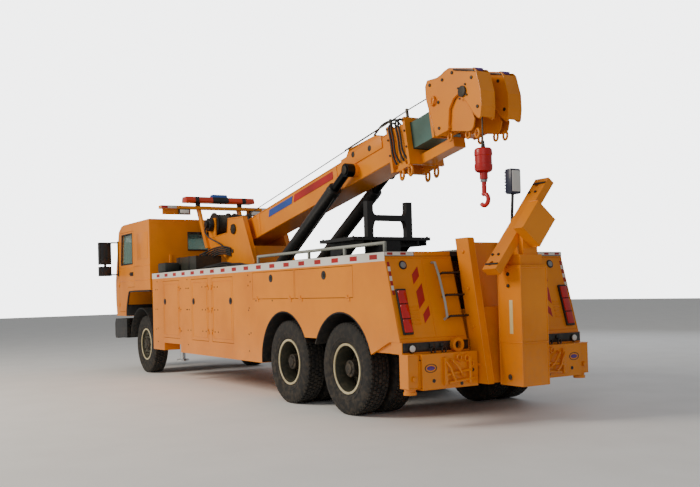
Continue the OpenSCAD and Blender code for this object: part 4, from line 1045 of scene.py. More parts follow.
# ---------------------------------------------------------------- body
@dataclass
class Body:
    """The lockers, deck, rear cabinets and everything fixed to them."""

    datum: Datum
    frame: dict
    side_y: float = 1.275
    top: float = 1.76
    deck: float = 1.811
    rear_low: tuple[float, float] = (-1.165, 0.865)
    rear_top: tuple[float, float] = (-0.920, 1.760)
    # doors: rear edge, front edge, latch place
    tall: tuple[tuple[float, float, float], ...] = ((5.09, 5.86, 5.77), (3.87, 4.56, 4.46), (2.95, 3.73, 3.03))
    drop: tuple[tuple[float, float, float], ...] = ((-0.29, 1.07, 0.35), (1.09, 2.29, 1.73))

    def on_rear(self, y: float, z: float) -> Matrix:
        """Placing of a drawing on a rear cabinet's sloping back.

        Args:
            y: Place across the truck.
            z: Height.

        Returns:
            The matrix: X points to the right, Y up the slope, Z out of the face.
        """
        (x0, z0), (x1, z1) = self.rear_low, self.rear_top
        x = x0 + (x1 - x0) * (z - z0) / (z1 - z0)
        up = Vector((x1 - x0, 0, z1 - z0))
        return axes(self.datum.at(x, y, z), (0, -1, 0), up)

    def latches(self) -> None:
        """Paddle latches and hinge screws on the doors."""
        at = self.datum.at
        for label, side in SIDES:
            y = self.side_y * side
            for number, (rear, front, spot) in enumerate(self.tall, 1):
                latch = Shape()
                latch.rod(at(spot, y - 0.004 * side, 1.31), at(spot, y + 0.005 * side, 1.31), 0.052, soft=0.002)
                latch.box(at(spot - 0.018, y, 1.285), at(spot + 0.018, y + 0.012 * side, 1.335), 0.004)
                hinge = front if number == 3 else rear
                inward = -1 if number == 3 else 1
                for z in (0.87, 1.20, 1.54):
                    for step in (0.018, 0.030):
                        latch.rod(at(hinge + inward * step, y + 0.005 * side, z),
                                  at(hinge + inward * step, y + 0.009 * side, z),
                                  0.005, sides=8)
                Workshop.piece(f"locker_latch_{label}_{number}", latch, BLACK_ENAMEL, f"locker_door_{label}_{number}")
                pressing = Shape()
                low, high = at(rear + 0.055, 0, 0.755), at(front - 0.055, 0, 1.605)
                loop = [Vector((low.x, y, low.z)), Vector((high.x, y, low.z)), Vector((high.x, y, high.z)),
                        Vector((low.x, y, high.z)), Vector((low.x, y, low.z))]
                pressing.pipe(loop, 0.0045, 6)
                Workshop.piece(f"locker_pressing_{label}_{number}", pressing, BODY_ENAMEL,
                               f"locker_door_{label}_{number}")
            latch = Shape()
            for rear, front, spot in self.drop:
                latch.rod(at(spot, y - 0.004 * side, 1.60), at(spot, y + 0.005 * side, 1.60), 0.052, soft=0.002)
                latch.box(at(spot - 0.018, y, 1.575), at(spot + 0.018, y + 0.012 * side, 1.625), 0.004)
            Workshop.piece(f"drop_door_latches_{label}", latch, BLACK_ENAMEL, f"drop_doors_{label}")

    def marking(self) -> None:
        """White and red tape round the top edge."""
        at = self.datum.at
        tape = Shape()
        for _, side in SIDES:
            tape.box(at(-0.925, (self.side_y - 0.001) * side, 1.712), at(6.40, (self.side_y + 0.002) * side, 1.806))
            tape.box(at(-0.9235, 0.90 * side, 1.768), at(-0.921, 1.27 * side, 1.808))
        Workshop.piece("edge_tape", tape, SIDE_TAPE, "chassis")
        marks, cover = Shape(), Shape()
        for _, side in SIDES:
            for i in range(18):
                x = -0.79 + 0.40 * i
                marks.box(at(x, self.side_y * side, 1.734), at(x + 0.15, (self.side_y + 0.003) * side, 1.786))
            for y in (1.17, 1.00):
                marks.box(at(-0.9245, y * side, 1.775), at(-0.922, (y + 0.07) * side, 1.801))
            cover.box(at(-0.924, 0.41 * side, 1.764), at(-0.9205, 0.895 * side, 1.811), 0.001)
        doors = {number: place[:2] for number, place in enumerate(self.tall, 1)}
        spots = [(4.78, 1.52), (4.66, 1.52), (4.76, 1.18), (4.64, 1.18), (4.72, 0.85), (4.60, 0.85), (6.24, 1.52),
                 (6.24, 1.18),
                 (6.24, 0.83), (5.02, 1.52), (5.02, 1.18), (5.02,
                                                            0.83), (2.36, 1.57), (2.19, 1.31), (2.41, 1.21), (2.37, 0.87),
                 (1.70, 1.31), (3.97, 1.53), (4.10, 1.53), (3.97,
                                                            1.18), (4.10, 1.18), (3.97, 0.85), (4.10, 0.85), (3.62, 1.52),
                 (3.50, 1.52), (3.62, 1.18), (3.50, 1.18), (3.62, 0.85), (3.50, 0.85)]
        for label, side in SIDES:
            screws = {on: Shape() for on in (0, 2, 3)}
            for x, z in spots:
                on = next((i for i, (low, high) in doors.items() if low < x < high), 0)
                start = at(x, (self.side_y - 0.002) * side, z)
                screws[on].rod(start, start + Vector((0, 0.006 * side, 0)), 0.013, 0.010, soft=0.001, sides=12)
            for on, shape in screws.items():
                body = f"locker_door_{label}_{on}" if on else "chassis"
                Workshop.piece(f"panel_screws_{label}_{on}", shape, BLACK_ENAMEL, body)
        Workshop.piece("edge_tape_marks", marks, RED_TAPE, "chassis")
        Workshop.piece("deck_rear_trim", cover, BODY_ENAMEL, "chassis")
        screws = Shape()
        cell = Shape().rod((0, 0, 0), (0, 0, 0.005), 0.010, sides=10, soft=0.0015)
        places = []
        for _, side in SIDES:
            for x in (2.43, 4.72, 6.15):
                for z in (0.62, 0.85, 1.18, 1.52, 1.66):
                    places.append(axes(at(x, self.side_y * side, z), (1, 0, 0),
                                       (0, 0, 1) if side < 0 else (0, 0, -1)))
        screws.copies(cell, places)
        Workshop.piece("panel_screws", screws, BLACK_ENAMEL, "chassis")

    def rear(self) -> None:
        """Tail lamps, chevrons, steps, grab rails and reflectors on the sloping backs."""
        for label, side in SIDES:
            lamp = Shape()
            place = self.on_rear(1.158 * side, 1.175)
            lamp.box((-0.062, -0.245, 0.0), (0.062, 0.245, 0.028), 0.008, place)
            Workshop.piece(f"tail_lamp_case_{label}", lamp, BLACK_PLASTIC, "chassis")
            lens = Shape()
            for low, high in ((-0.225, -0.085), (-0.075, 0.075), (0.085, 0.225)):
                lens.box((-0.050, low, 0.020), (0.050, high, 0.040), 0.008, place)
            Workshop.piece(f"tail_lamp_lens_{label}", lens, RED_LENS, "chassis")
            mark = Shape()
            for y, z, height in ((0.92, 1.555, 0.11), (0.905, 1.335, 0.19), (0.87, 1.14, 0.10)):
                half = 0.045
                lean = 0.09
                outline = [(-half, -height / 2 - lean * side / 2), (half, -height / 2 + lean * side / 2),
                           (half, height / 2 + lean * side / 2), (-half, height / 2 - lean * side / 2)]
                mark.prism(outline, 0.003, self.on_rear(y * side, z))
            Workshop.piece(f"chevron_tape_{label}", mark, RED_TAPE, "chassis")
            high_lamp = Shape()
            place = self.on_rear(1.06 * side, 1.665)
            high_lamp.rod(place @ Vector((0, 0, 0)), place @ Vector((0, 0, 0.014)), 0.037, 0.034, soft=0.003)
            high_ring = Shape()
            high_ring.ring(place @ Vector((0, 0, 0.004)), place.to_3x3() @ Vector((0, 0, 1)), 0.043, 0.006)
            Workshop.piece(f"high_lamp_{label}", high_lamp, ZINC, "chassis")
            Workshop.piece(f"high_lamp_ring_{label}", high_ring, BLACK_ENAMEL, "chassis")
            edge = Shape()
            for z in (1.70, 1.60, 1.50, 1.40):
                edge.box((-0.018, -0.048, 0.0), (0.018, 0.0, 0.003), 0.0, self.on_rear(1.245 * side, z))
            Workshop.piece(f"rear_edge_tape_{label}", edge, RED_TAPE, "chassis")
            pale = Shape()
            for z in (1.65, 1.55, 1.45):
                pale.box((-0.018, -0.050, 0.0), (0.018, 0.0, 0.003), 0.0, self.on_rear(1.245 * side, z))
            Workshop.piece(f"rear_edge_pale_tape_{label}", pale, WHITE_ENAMEL, "chassis")
            rail = Shape()
            top, low = self.on_rear(0.676 * side, 1.69), self.on_rear(0.650 * side, 1.08)
            rail.pipe([top @ Vector((0, 0, 0)), top @ Vector((0, -0.02, 0.075)), low @ Vector((0, 0.02, 0.075)),
                       low @ Vector((0, 0, 0))], 0.014, 12, 1)
            Workshop.piece(f"rear_grab_rail_{label}", rail, RAIL_ENAMEL, "chassis")
            steps = Shape()
            for z in (1.555, 1.318, 1.094):
                place = self.on_rear(0.482 * side, z)
                for low, high in (((-0.145, -0.010, 0.0), (-0.125, 0.010, 0.085)),
                                  ((0.125, -0.010, 0.0), (0.145, 0.010, 0.085))):
                    steps.box(low, high, 0.002, place)
                steps.box((-0.15, -0.008, 0.050), (0.15, 0.008, 0.090), 0.003, place)
                for i in range(9):
                    steps.box((-0.137 + i * 0.033, 0.007, 0.052), (-0.127 + i * 0.033, 0.013, 0.088), 0.0, place)
            Workshop.piece(f"rear_steps_{label}", steps, BLACK_ENAMEL, "chassis")
            frame_lines = Shape()
            for points in ([(1.262, 0.90), (1.262, 1.74), (0.415, 1.74), (0.415, 0.90), (1.262, 0.90)],
                           [(0.80, 0.90), (0.80, 1.74)]):
                path = [self.on_rear(y * side, z) @ Vector((0, 0, 0.001)) for y, z in points]
                frame_lines.pipe(path, 0.005, 6)
            Workshop.piece(f"rear_panel_edges_{label}", frame_lines, BODY_ENAMEL, "chassis")
            vent = Shape()
            for i in range(6):
                place = self.on_rear(1.02 * side, 1.05 + 0.035 * i)
                vent.box((-0.055, -0.006, 0), (0.055, 0.008, 0.006), 0.002, place)
            Workshop.piece(f"rear_louvres_{label}", vent, BODY_ENAMEL, "chassis")

    def on_deck(self) -> None:
        """Hoses, valve block and filler on the deck behind the cab."""
        at = self.datum.at
        tank = Shape()
        low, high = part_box("oil_tank")
        tank.rod(Vector((low[0] + 0.15, (low[1] + high[1]) / 2, high[2] - 0.01)),
                 Vector((low[0] + 0.15, (low[1] + high[1]) / 2, high[2] + 0.045)), 0.055, soft=0.006)
        for x in (low[0] + 0.30, high[0] - 0.14):
            tank.box((x, low[1] - 0.004, low[2]), (x + 0.045, high[1] + 0.004, high[2] + 0.005), 0.002)
        Workshop.piece("tank_straps", tank, BLACK_ENAMEL, "chassis")
        hoses = Shape()
        for i in range(7):
            y = 0.50 + 0.055 * i
            z = 1.845 + 0.012 * (i % 3)
            hoses.pipe([at(5.20, y, z), at(4.70, y + 0.03, z + 0.02), at(4.35, y - 0.02, z + 0.03 + 0.02 * (i % 2)),
                        at(3.95, y + 0.02, z), at(3.62, 0.53 + 0.04 * i, 1.835)], 0.016, 10, 2)
        for i in range(5):
            z = 2.02 + 0.03 * i
            hoses.pipe([at(5.35, 0.60 + 0.05 * i, z - 0.06), at(5.22, 0.58, z + 0.06), at(5.08, 0.46, z + 0.08),
                        at(4.98, 0.385, z + 0.04)], 0.014, 10, 2)
        Workshop.piece("hydraulic_hoses", hoses, HOSE_RUBBER, "chassis")
        block = Shape()
        block.box(at(5.92, -0.86, 1.811), at(6.30, -0.46, 2.02), 0.012)
        block.box(at(5.40, -0.86, 1.811), at(5.80, -0.50, 1.95), 0.012)
        for i in range(6):
            x = 5.44 + i * 0.06
            block.rod(at(x, -0.68, 1.945), at(x, -0.68, 2.06), 0.007, sides=8)
            block.ball(at(x, -0.68, 2.065), 0.016)
        Workshop.piece("valve_block", block, CAST_IRON, "chassis")
        lamp = Shape()
        lamp.box(at(5.95, 0.93, 1.811), at(6.33, 1.20, 1.985), 0.03)
        Workshop.piece("deck_box", lamp, TANK_ENAMEL, "chassis")

    def legs(self) -> None:
        """Rear crossmember trim: band, chains, oval reflectors and reverse lamps."""
        at = self.datum.at
        band = Shape()
        for _, side in SIDES:
            band.box(at(-1.197, 0.41 * side, 0.762), at(-1.188, 1.262 * side, 0.860), 0.003)
        Workshop.piece("underrun_band", band, BLACK_ENAMEL, "chassis")
        for label, side in SIDES:
            oval = Shape()
            y = 1.016 * side
            oval.ball(at(-1.331, y, 0.600), 0.05, (0.14, 1.05, 0.45))
            Workshop.piece(f"oval_reflectors_{label}", oval, PURPLE_LENS, "chassis")
            rim = Shape()
            turn = axes(at(-1.331, y, 0.600), (0, 1, 0), (0, 0, 1))
            rim.lathe([(0.050, 0.0), (0.060, 0.0), (0.058, 0.008), (0.050, 0.008)],
                      turn @ Matrix.Diagonal((1.3, 0.75, 1, 1)), 32)
            lamp_y = 1.154 * side
            rim.rod(at(-1.19, lamp_y, 0.80), at(-1.215, lamp_y, 0.80), 0.048, 0.044, soft=0.003)
            Workshop.piece(f"reflector_rims_{label}", rim, BLACK_ENAMEL, "chassis")
            lens = Shape()
            lens.rod(at(-1.212, lamp_y, 0.80), at(-1.222, lamp_y, 0.80), 0.038, 0.032, soft=0.003)
            Workshop.piece(f"reverse_lamp_{label}", lens, WHITE_LENS, "chassis")
            gear = Shape()
            gear.pipe([at(-1.335, 0.84 * side, 0.66), at(-1.372, 0.84 * side, 0.655), at(-1.380, 0.80 * side, 0.60),
                       at(-1.380, 0.76 * side, 0.50), at(-1.360, 0.72 * side, 0.46)], 0.013, 10, 2)
            gear.pipe([at(-1.335, 0.76 * side, 0.67), at(-1.375, 0.76 * side, 0.66), at(-1.385, 0.70 * side, 0.60),
                       at(-1.385, 0.66 * side, 0.54), at(-1.350, 0.62 * side, 0.50)], 0.013, 10, 2)
            gear.rod(at(-1.350, 0.50 * side, 0.56), at(-1.350, 0.86 * side, 0.52), 0.016, soft=0.003)
            gear.rod(at(-1.350, 0.44 * side, 0.47), at(-1.350, 0.80 * side, 0.44), 0.014, soft=0.003)
            for y, z in ((0.56, 0.68), (0.66, 0.69), (0.50, 0.62)):
                gear.ring(at(-1.352, y * side, z), (1, 0.1, 0.1), 0.030, 0.009)
            for y in (0.52, 0.84):
                gear.box(at(-1.362, (y - 0.02) * side, 0.42),
                         at(-1.328, (y + 0.02) * side, 0.70), 0.004)
            Workshop.piece(f"stowed_towing_gear_{label}", gear, BODY_ENAMEL, "chassis")
            # shallow black discs painted on the housing as painted shade for its holes
            holes = Shape()
            for y, z in ((0.62, 0.42), (0.98, 0.47), (0.47, 0.55)):
                holes.rod(at(-1.329, y * side, z), at(-1.3335, y * side, z), 0.020, sides=20)
            Workshop.piece(f"housing_holes_{label}", holes, BLACK_ENAMEL, "chassis")
            flange = Shape()
            flange.box(at(-1.303, 1.130 * side, 0.736), at(-1.137, 1.274 * side, 0.748), 0.003)
            flange.box(at(-1.303, 1.130 * side, 0.396), at(-1.137, 1.274 * side, 0.408), 0.003)
            flange.rod(at(-1.300, 1.205 * side, 0.50), at(-1.316, 1.205 * side, 0.50), 0.026, soft=0.003)
            Workshop.piece(f"leg_sleeve_flanges_{label}", flange, BODY_ENAMEL, f"outrigger_beam_{label}")
            hooks = Shape()
            for y in (0.76, 0.90):
                hooks.ring(at(-1.226, y * side, 0.770), (1, 0.2, 0), 0.032, 0.009)
                hooks.box(at(-1.215, (y - 0.03) * side, 0.795),
                          at(-1.19, (y + 0.03) * side, 0.845), 0.004)
            Workshop.piece(f"chain_rings_{label}", hooks, BLACK_ENAMEL, "chassis")
            plate = Shape()
            plate.box(at(-1.298, 1.267 * side, 0.45), at(-1.150, 1.274 * side, 0.70), 0.003)
            Workshop.piece(f"leg_plate_{label}", plate, BODY_ENAMEL, f"outrigger_beam_{label}")

    def build(self) -> None:
        """All of the body."""
        dress = Workshop.dress
        dress(self.frame, BODY_ENAMEL, "side_body_left", "side_body_right", "drop_doors_left", "drop_doors_right",
              "rear_crossmember", "underrun_beam", "outrigger_beam_left", "outrigger_beam_right")
        for label, _ in SIDES:
            dress(self.frame, BODY_ENAMEL, *(f"locker_door_{label}_{i}" for i in (1, 2, 3)))
            dress(self.frame, BODY_ENAMEL, f"outrigger_leg_{label}")
        dress(self.frame, PLATED_BAR, "front_jacks")
        dress(self.frame, TREAD_PLATE, "deck")
        dress(self.frame, RAIL_ENAMEL, "handrails")
        dress(self.frame, TANK_ENAMEL, "oil_tank")
        self.latches()
        self.marking()
        self.rear()
        self.on_deck()
        self.legs()


# ---------------------------------------------------------------- tower and boom
@dataclass
class Crane:
    """The tower, winches, gantry, boom, hook and lift cylinders."""

    datum: Datum
    frame: dict
    pivot: tuple[float, float] = (4.865, 2.496)
    angle: float = math.radians(10)
    length: float = 4.890
    out: float = 0.410
    low: float = -0.274
    high: float = 0.106
    half: float = 0.200
    sheave: tuple[float, float] = (0.728, 0.008)
    guard_y: float = 0.190
    winch: tuple[float, float] = (5.80, 2.64)
    cheek_y: float = 0.371
    barrel_y: float = 0.330
    rod_eye: tuple[float, float] = (3.628, -0.128)

    def along(self, u: float, y: float, w: float) -> Vector:
        """A point given along the boom.

        Args:
            u: Distance from the pivot, out along the boom.
            y: Left of the middle.
            w: Height above the pivot line, square to the boom.

        Returns:
            The point in the frame.
        """
        c, s = math.cos(self.angle), math.sin(self.angle)
        return self.datum.at(self.pivot[0] - u * c + w * s, y, self.pivot[1] + u * s + w * c)

    def line(self, y: float) -> Matrix:
        """Placing of a drawing in the boom's upright plane.

        Args:
            y: Place across the truck.

        Returns:
            The matrix: X out along the boom, Y up, Z to the right of the truck.
        """
        origin = self.along(0, y, 0)
        return axes(origin, self.along(1, y, 0) - origin, self.along(0, y, 1) - origin)

    def tower(self) -> None:
        """Pins, weld seams, ribs and bolts on the tower, and the winch ropes and motors."""
        at = self.datum.at
        pins = Shape()
        for _, side in SIDES:
            y = self.cheek_y * side
            pins.rod(at(self.pivot[0], y, self.pivot[1]), at(self.pivot[0], y + 0.030 * side, self.pivot[1]), 0.085,
                     soft=0.005)
            pins.rod(at(self.pivot[0], y, self.pivot[1]), at(self.pivot[0], y + 0.040 * side, self.pivot[1]), 0.045,
                     soft=0.004)
            for x, z in ((5.175, 2.162), (4.928, 2.131)):
                pins.rod(at(x, y - 0.003 * side, z), at(x, y + 0.012 * side, z), 0.034, soft=0.003)
            for i in range(6):
                a = math.tau * i / 6
                spot = at(self.pivot[0] + 0.068 * math.cos(a), y + 0.028 * side, self.pivot[1] + 0.068 * math.sin(a))
                pins.stud(spot, (0, 0.010 * side, 0), 0.009, sides=6)
            for x in (4.20, 4.50, 4.80, 5.06):
                spot = at(x, 0.410 * side, 1.238)
                pins.stud(spot, (0, 0, 0.02), 0.018, sides=6)
        Workshop.piece("tower_pins", pins, HUB_IRON, "chassis")
        ribs = Shape()
        for _, side in SIDES:
            y = self.cheek_y * side
            edge = [(4.10, 1.90), (4.52, 2.665), (5.10, 2.685), (5.145, 2.45), (5.99, 2.41)]
            ribs.pipe([at(x, y - 0.002 * side, z) for x, z in edge], 0.010, 8)
            lower = [(5.99, 2.185), (5.56, 2.162), (5.33, 2.097), (5.19, 2.00), (5.128, 1.90)]
            ribs.pipe([at(x, y - 0.002 * side, z) for x, z in lower], 0.010, 8)
        Workshop.piece("tower_welds", ribs, BODY_ENAMEL, "chassis")
        x, z = self.winch
        drums = Shape()
        for _, side in SIDES:
            for i in range(9):
                y = (0.079 + 0.027 * i) * side
                drums.ring(at(x, y, z), (0, 1, 0), 0.150, 0.0135, 40)
            for i in range(8):
                y = (0.0925 + 0.027 * i) * side
                drums.ring(at(x, y, z), (0, 1, 0), 0.173, 0.0135, 40)
        Workshop.piece("winch_rope", drums, WIRE_ROPE, "winch_drums")
        motor = Shape()
        for _, side in SIDES:
            motor.rod(at(x, self.cheek_y * side, z), at(x, 0.455 * side, z), 0.125, 0.11, soft=0.012)
            motor.rod(at(x, 0.455 * side, z), at(x, 0.500 * side, z), 0.060, soft=0.006)
            for i in range(8):
                a = math.tau * i / 8
                motor.rod(at(x + 0.105 * math.cos(a), 0.36 * side, z + 0.105 * math.sin(a)),
                          at(x + 0.105 * math.cos(a), 0.466 * side, z + 0.105 * math.sin(a)), 0.010, sides=6)
            motor.pipe([at(x, 0.49 * side, 2.60), at(5.74, 0.54 * side, 2.50), at(5.60, 0.50 * side, 2.38),
                        at(5.40, 0.42 * side, 2.30), at(5.2, 0.39 * side, 2.2)], 0.014, 8, 2)
        Workshop.piece("winch_motors", motor, BLACK_ENAMEL, "chassis")

    def gantry(self) -> None:
        """Lenses of the light bar, marker lamps and work lamps on the gantry."""
        at = self.datum.at
        ends = Shape()
        for _, side in SIDES:
            ends.box(at(6.262, 0.84 * side, 2.963), at(6.2655, 1.125 * side, 3.012), 0.001)
            ends.box(at(6.4145, 0.84 * side, 2.963), at(6.418, 1.125 * side, 3.012), 0.001)
        Workshop.piece("gantry_end_markers", ends, WHITE_LENS, "chassis")
        red = Shape()
        for _, side in SIDES:
            red.box(at(6.2605, 1.01 * side, 2.966), at(6.2625, 1.124 * side, 3.009), 0.0005)
        Workshop.piece("gantry_red_markers", red, RED_LENS, "chassis")
        bar = Shape()
        outline = [(-0.118, 3.081), (0.118, 3.081), (0.129, 3.110), (0.096, 3.184), (-0.096, 3.184), (-0.129, 3.110)]
        for y0, y1 in ((0.155, 0.671), (-0.671, -0.155)):
            bar.prism(outline, y1 - y0, axes(at(6.34, y1, 0), (1, 0, 0), (0, 0, 1)), 0.010)
        Workshop.piece("light_bar_red_lens", bar, BEACON_LENS, "chassis", ("light_bar",))
        caps = Shape()
        for y0, y1 in ((0.42, 0.50), (-0.50, -0.42)):
            caps.prism([(x * 1.006, z + (0.0006 if z > 3.1 else -0.0006)) for x, z in outline], y1 - y0,
                       axes(at(6.34, y1, 0), (1, 0, 0), (0, 0, 1)), 0.004)
        caps.prism(outline, 0.30, axes(at(6.34, 0.15, 0), (1, 0, 0), (0, 0, 1)), 0.008)
        for _, side in SIDES:
            caps.box(at(6.285, 0.38 * side, 3.016), at(6.395, 0.44 * side, 3.085), 0.008)
        Workshop.piece("light_bar_frame", caps, BLACK_PLASTIC, "chassis")
        dome = Shape()
        dome.prism([(-0.088, 3.180), (0.088, 3.180), (0.060, 3.239), (-0.060, 3.239)], 0.296,
                   axes(at(6.34, 0.148, 0), (1, 0, 0), (0, 0, 1)), 0.018)
        Workshop.piece("light_bar_blue_dome", dome, BLUE_LENS, "chassis")
        work = Shape()
        for _, side in SIDES:
            work.box(at(6.245, 0.60 * side, 2.862), at(6.318, 0.80 * side, 2.955), 0.012)
        Workshop.piece("work_lamp_cases", work, BLACK_PLASTIC, "chassis")
        lens = Shape()
        for _, side in SIDES:
            lens.box(at(6.240, 0.615 * side, 2.875), at(6.248, 0.785 * side, 2.943), 0.003)
        Workshop.piece("work_lamp_lenses", lens, WHITE_LENS, "chassis")

    def boom(self) -> None:
        """Weld seams, stiffeners, rope housing pins, hoses and lashing rings on the outer boom."""
        seams = Shape()
        for side in (1, -1):
            for w in (self.low + 0.012, self.high - 0.012):
                seams.rod(self.along(-0.10, side * self.half, w), self.along(4.49, side * self.half, w), 0.009,
                          sides=8)
            for u in (0.55, 3.05):
                seams.box((u, self.low + 0.02, -0.006), (u + 0.10, self.high - 0.02, 0.006), 0.002,
                          self.line(side * (self.half + 0.003)))
            seams.box((3.30, self.high - 0.14, -0.010), (4.30, self.high + 0.02, 0.010), 0.004,
                      self.line(side * (self.half + 0.006)))
        Workshop.piece("boom_seams", seams, BODY_ENAMEL, "boom")
        pins = Shape()
        for side in (1, -1):
            base = self.along(self.rod_eye[0], side * 0.268, self.rod_eye[1])
            pins.rod(base + Vector((0, 0.113 * side, 0)), base + Vector((0, 0.128 * side, 0)), 0.060, soft=0.005)
            for u, w in ((3.62, 0.10), (4.02, 0.05)):
                spot = self.along(u, side * 0.160, w)
                pins.stud(spot, (0, 0.060 * side, 0), 0.040, soft=0.004)
            for u in (4.49, 4.845):
                for w in (-0.22, -0.02, 0.12):
                    spot = self.along(u + 0.0225, side * 0.262, w)
                    pins.rod(spot - Vector((0, 0.01 * side, 0)), spot + Vector((0, 0.010 * side, 0)), 0.014, sides=6)
        Workshop.piece("boom_pins", pins, HUB_IRON, "boom")
        hoses = Shape()
        for i in range(3):
            y = -0.10 + 0.10 * i
            hoses.pipe([self.along(0.35, y, 0.118), self.along(1.2, y, 0.120), self.along(2.4, y, 0.120),
                        self.along(3.25, y, 0.122)], 0.012, 8)
        for side in (1, -1):
            hoses.pipe([self.along(4.10, side * 0.17, 0.20), self.along(4.35, side * 0.19, 0.27),
                        self.along(4.60, side * 0.20, 0.22),
                        self.along(4.80, side * 0.17, 0.155)], 0.013, 8, 2)
            for i in range(4):
                y = side * (0.262 + 0.016 * (i % 2))
                u = 4.545 + 0.075 * i
                hoses.pipe([self.along(u - 0.10, side * 0.10, 0.165), self.along(u - 0.04, side * 0.20, 0.200),
                            self.along(u, y, 0.12),
                            self.along(u + 0.03, y, -0.06), self.along(u + 0.02, y, -0.24), self.along(u + 0.05, side * 0.24, -0.36)],
                           0.013, 8, 2)
        Workshop.piece("boom_hoses", hoses, HOSE_RUBBER, "boom")
        for name, finish, first, last in (("blue", BLUE_TAPE, 0.98, 1.78), ("red", RED_TAPE, 1.84, 3.02)):
            bars = Shape()
            for side in (1, -1):
                y = side * (self.half + 0.001) + (0.003 if side > 0 else 0)
                bars.prism([(first, -0.055), (last, -0.055), (last + 0.05, 0.050), (first + 0.05, 0.050)], 0.003,
                           self.line(y))
            Workshop.piece(f"boom_{name}_bar", bars, finish, "boom")
        rope = Shape()
        for side in (1, -1):
            rope.pipe([self.along(0.30, side * 0.190, 0.195), self.along(4.45, side * 0.190, 0.232),
                       self.along(4.80, side * 0.190, 0.235)], 0.008, 8)
            for u in (4.50, 4.86):
                rope.box((u, 0.150, -0.016), (u + 0.03, 0.262, 0.016), 0.004, self.line(side * 0.190))
        Workshop.piece("boom_ropes", rope, WIRE_ROPE, "boom")
        rings = Shape()
        for side in (1, -1):
            for u, w in ((4.62, -0.43), (4.80, -0.43)):
                rings.ring(self.along(u, side * 0.195, w - 0.062), (0.3, 1, 0), 0.062, 0.017)
                rings.box((u - 0.03, w - 0.02, -0.02), (u + 0.03, w + 0.03, 0.02), 0.006, self.line(side * 0.195))
        Workshop.piece("boom_shackle_rings", rings, BODY_ENAMEL, "boom")

    def head(self) -> None:
        """Sheave grooves, pins, shackle rings, green box and hoses of the boom's tip."""
        tip = self.length + self.out
        su, sw = tip + self.sheave[0], self.sheave[1]
        pins = Shape()
        for side in (1, -1):
            middle = self.guard_y * side
            for edge in (-1, 1):
                spot = self.along(su, middle + edge * 0.095, sw)
                pins.stud(spot, (0, edge * 0.022, 0), 0.062, soft=0.005)
                for i in range(4):
                    a = math.tau * (i + 0.5) / 4
                    bolt = self.along(su + 0.085 * math.cos(a), middle + edge * 0.094, sw + 0.085 * math.sin(a))
                    pins.stud(bolt, (0, edge * 0.014, 0), 0.012, sides=6)
                for u, w in ((0.19, 0.30), (0.42, 0.27), (0.60, 0.28), (0.90, 0.10), (0.25, -0.24), (0.30, 0.05),
                             (0.93, -0.24)):
                    bolt = self.along(tip + u, middle + edge * 0.094, w)
                    pins.stud(bolt, (0, edge * 0.012, 0), 0.020, sides=6, soft=0.002)
        Workshop.piece("head_pins", pins, HUB_IRON, "boom_tip")
        sheaves = Shape()
        for side in (1, -1):
            outline = [(0.05, -0.032), (0.150, -0.032), (0.192, -0.034), (0.196, -0.028), (0.180, -0.010),
                       (0.180, 0.010),
                       (0.196, 0.028), (0.192, 0.034), (0.150, 0.032), (0.05, 0.032)]
            place = axes(self.along(su, self.guard_y * side, sw), (1, 0, 0), (0, 0, 1))
            sheaves.lathe(outline, place, 48)
        Workshop.piece("rope_sheaves", sheaves, HUB_IRON, "boom_tip")
        ribs = Shape()
        for side in (1, -1):
            middle = self.guard_y * side
            for edge in (-1, 1):
                loop = [(0.174, -0.310), (0.088, 0.166), (0.104, 0.317), (0.153, 0.370), (0.330, 0.331),
                        (0.410, 0.334),
                        (0.480, 0.350), (0.560, 0.351), (0.699,
                                                         0.291), (0.852, 0.225), (0.957, 0.179), (0.986, 0.138),
                        (1.013, -0.090), (0.991, -0.250), (0.952, -0.362), (0.926, -0.371), (0.898, -0.348),
                        (0.852, -0.288), (0.761, -0.122), (0.692, -0.015), (0.641, 0.014), (0.557, -0.006),
                        (0.466, -0.088), (0.397, -0.315), (0.174, -0.310)]
                ribs.pipe([self.along(tip + u, middle + edge * 0.096, w) for u, w in loop], 0.004, 6)
        Workshop.piece("head_plate_edges", ribs, BODY_ENAMEL, "boom_tip")
        slots, marks = Shape(), Shape()
        lip = [(tip + u, w) for u, w in ((0.64, 0.306), (0.85, 0.214), (0.95, 0.172), (0.972, 0.140),
                                         (0.952, 0.146), (0.935, 0.158), (0.84, 0.198), (0.64, 0.288))]
        for side in (1, -1):
            middle = self.guard_y * side
            for across in (0.072, -0.032):
                slots.prism(lip, 0.040, self.line(middle + across), 0.002)
            lean = axes(self.along(tip + 0.915, middle, 0.192), self.along(1, 0, -0.45) - self.along(0, 0, 0),
                        (0, 1, 0))
            marks.rod(lean @ Vector((0, 0, -0.02)), lean @ Vector((0, 0, 0.012)), 0.058, soft=0.003)
        Workshop.piece("sheave_slot_lips", slots, BLACK_ENAMEL, "boom_tip")
        Workshop.piece("sheave_slot_reflectors", marks, PURPLE_LENS, "boom_tip")
        box = Shape()
        box.box((tip + 0.02, -0.25, -0.17), (tip + 0.16, 0.10, 0.17), 0.006, self.line(0.0))
        for side in (1, -1):
            box.box((tip + 0.02, -0.235, -0.004), (tip + 0.30, 0.06, 0.004), 0.003, self.line(side * 0.180))
        Workshop.piece("green_head_box", box, GREEN_ENAMEL, "boom_tip")
        rings = Shape()
        for u, y, w in ((0.21, 0.297, 0.10), (0.34, 0.22, -0.365), (0.62, 0.20, -0.435), (0.77, 0.20, -0.475),
                        (0.21, -0.297, 0.10), (0.34, -0.22, -0.365), (0.62, -0.20, -0.435), (0.77, -0.20, -0.475)):
            rings.ring(self.along(tip + u, y, w), (0.25, 1, 0) if w < 0 else (0.3, 1, 0.1), 0.046, 0.014)
        Workshop.piece("head_shackle_rings", rings, BODY_ENAMEL, "boom_tip")
        hoses = Shape()
        for y in (0.06, -0.04):
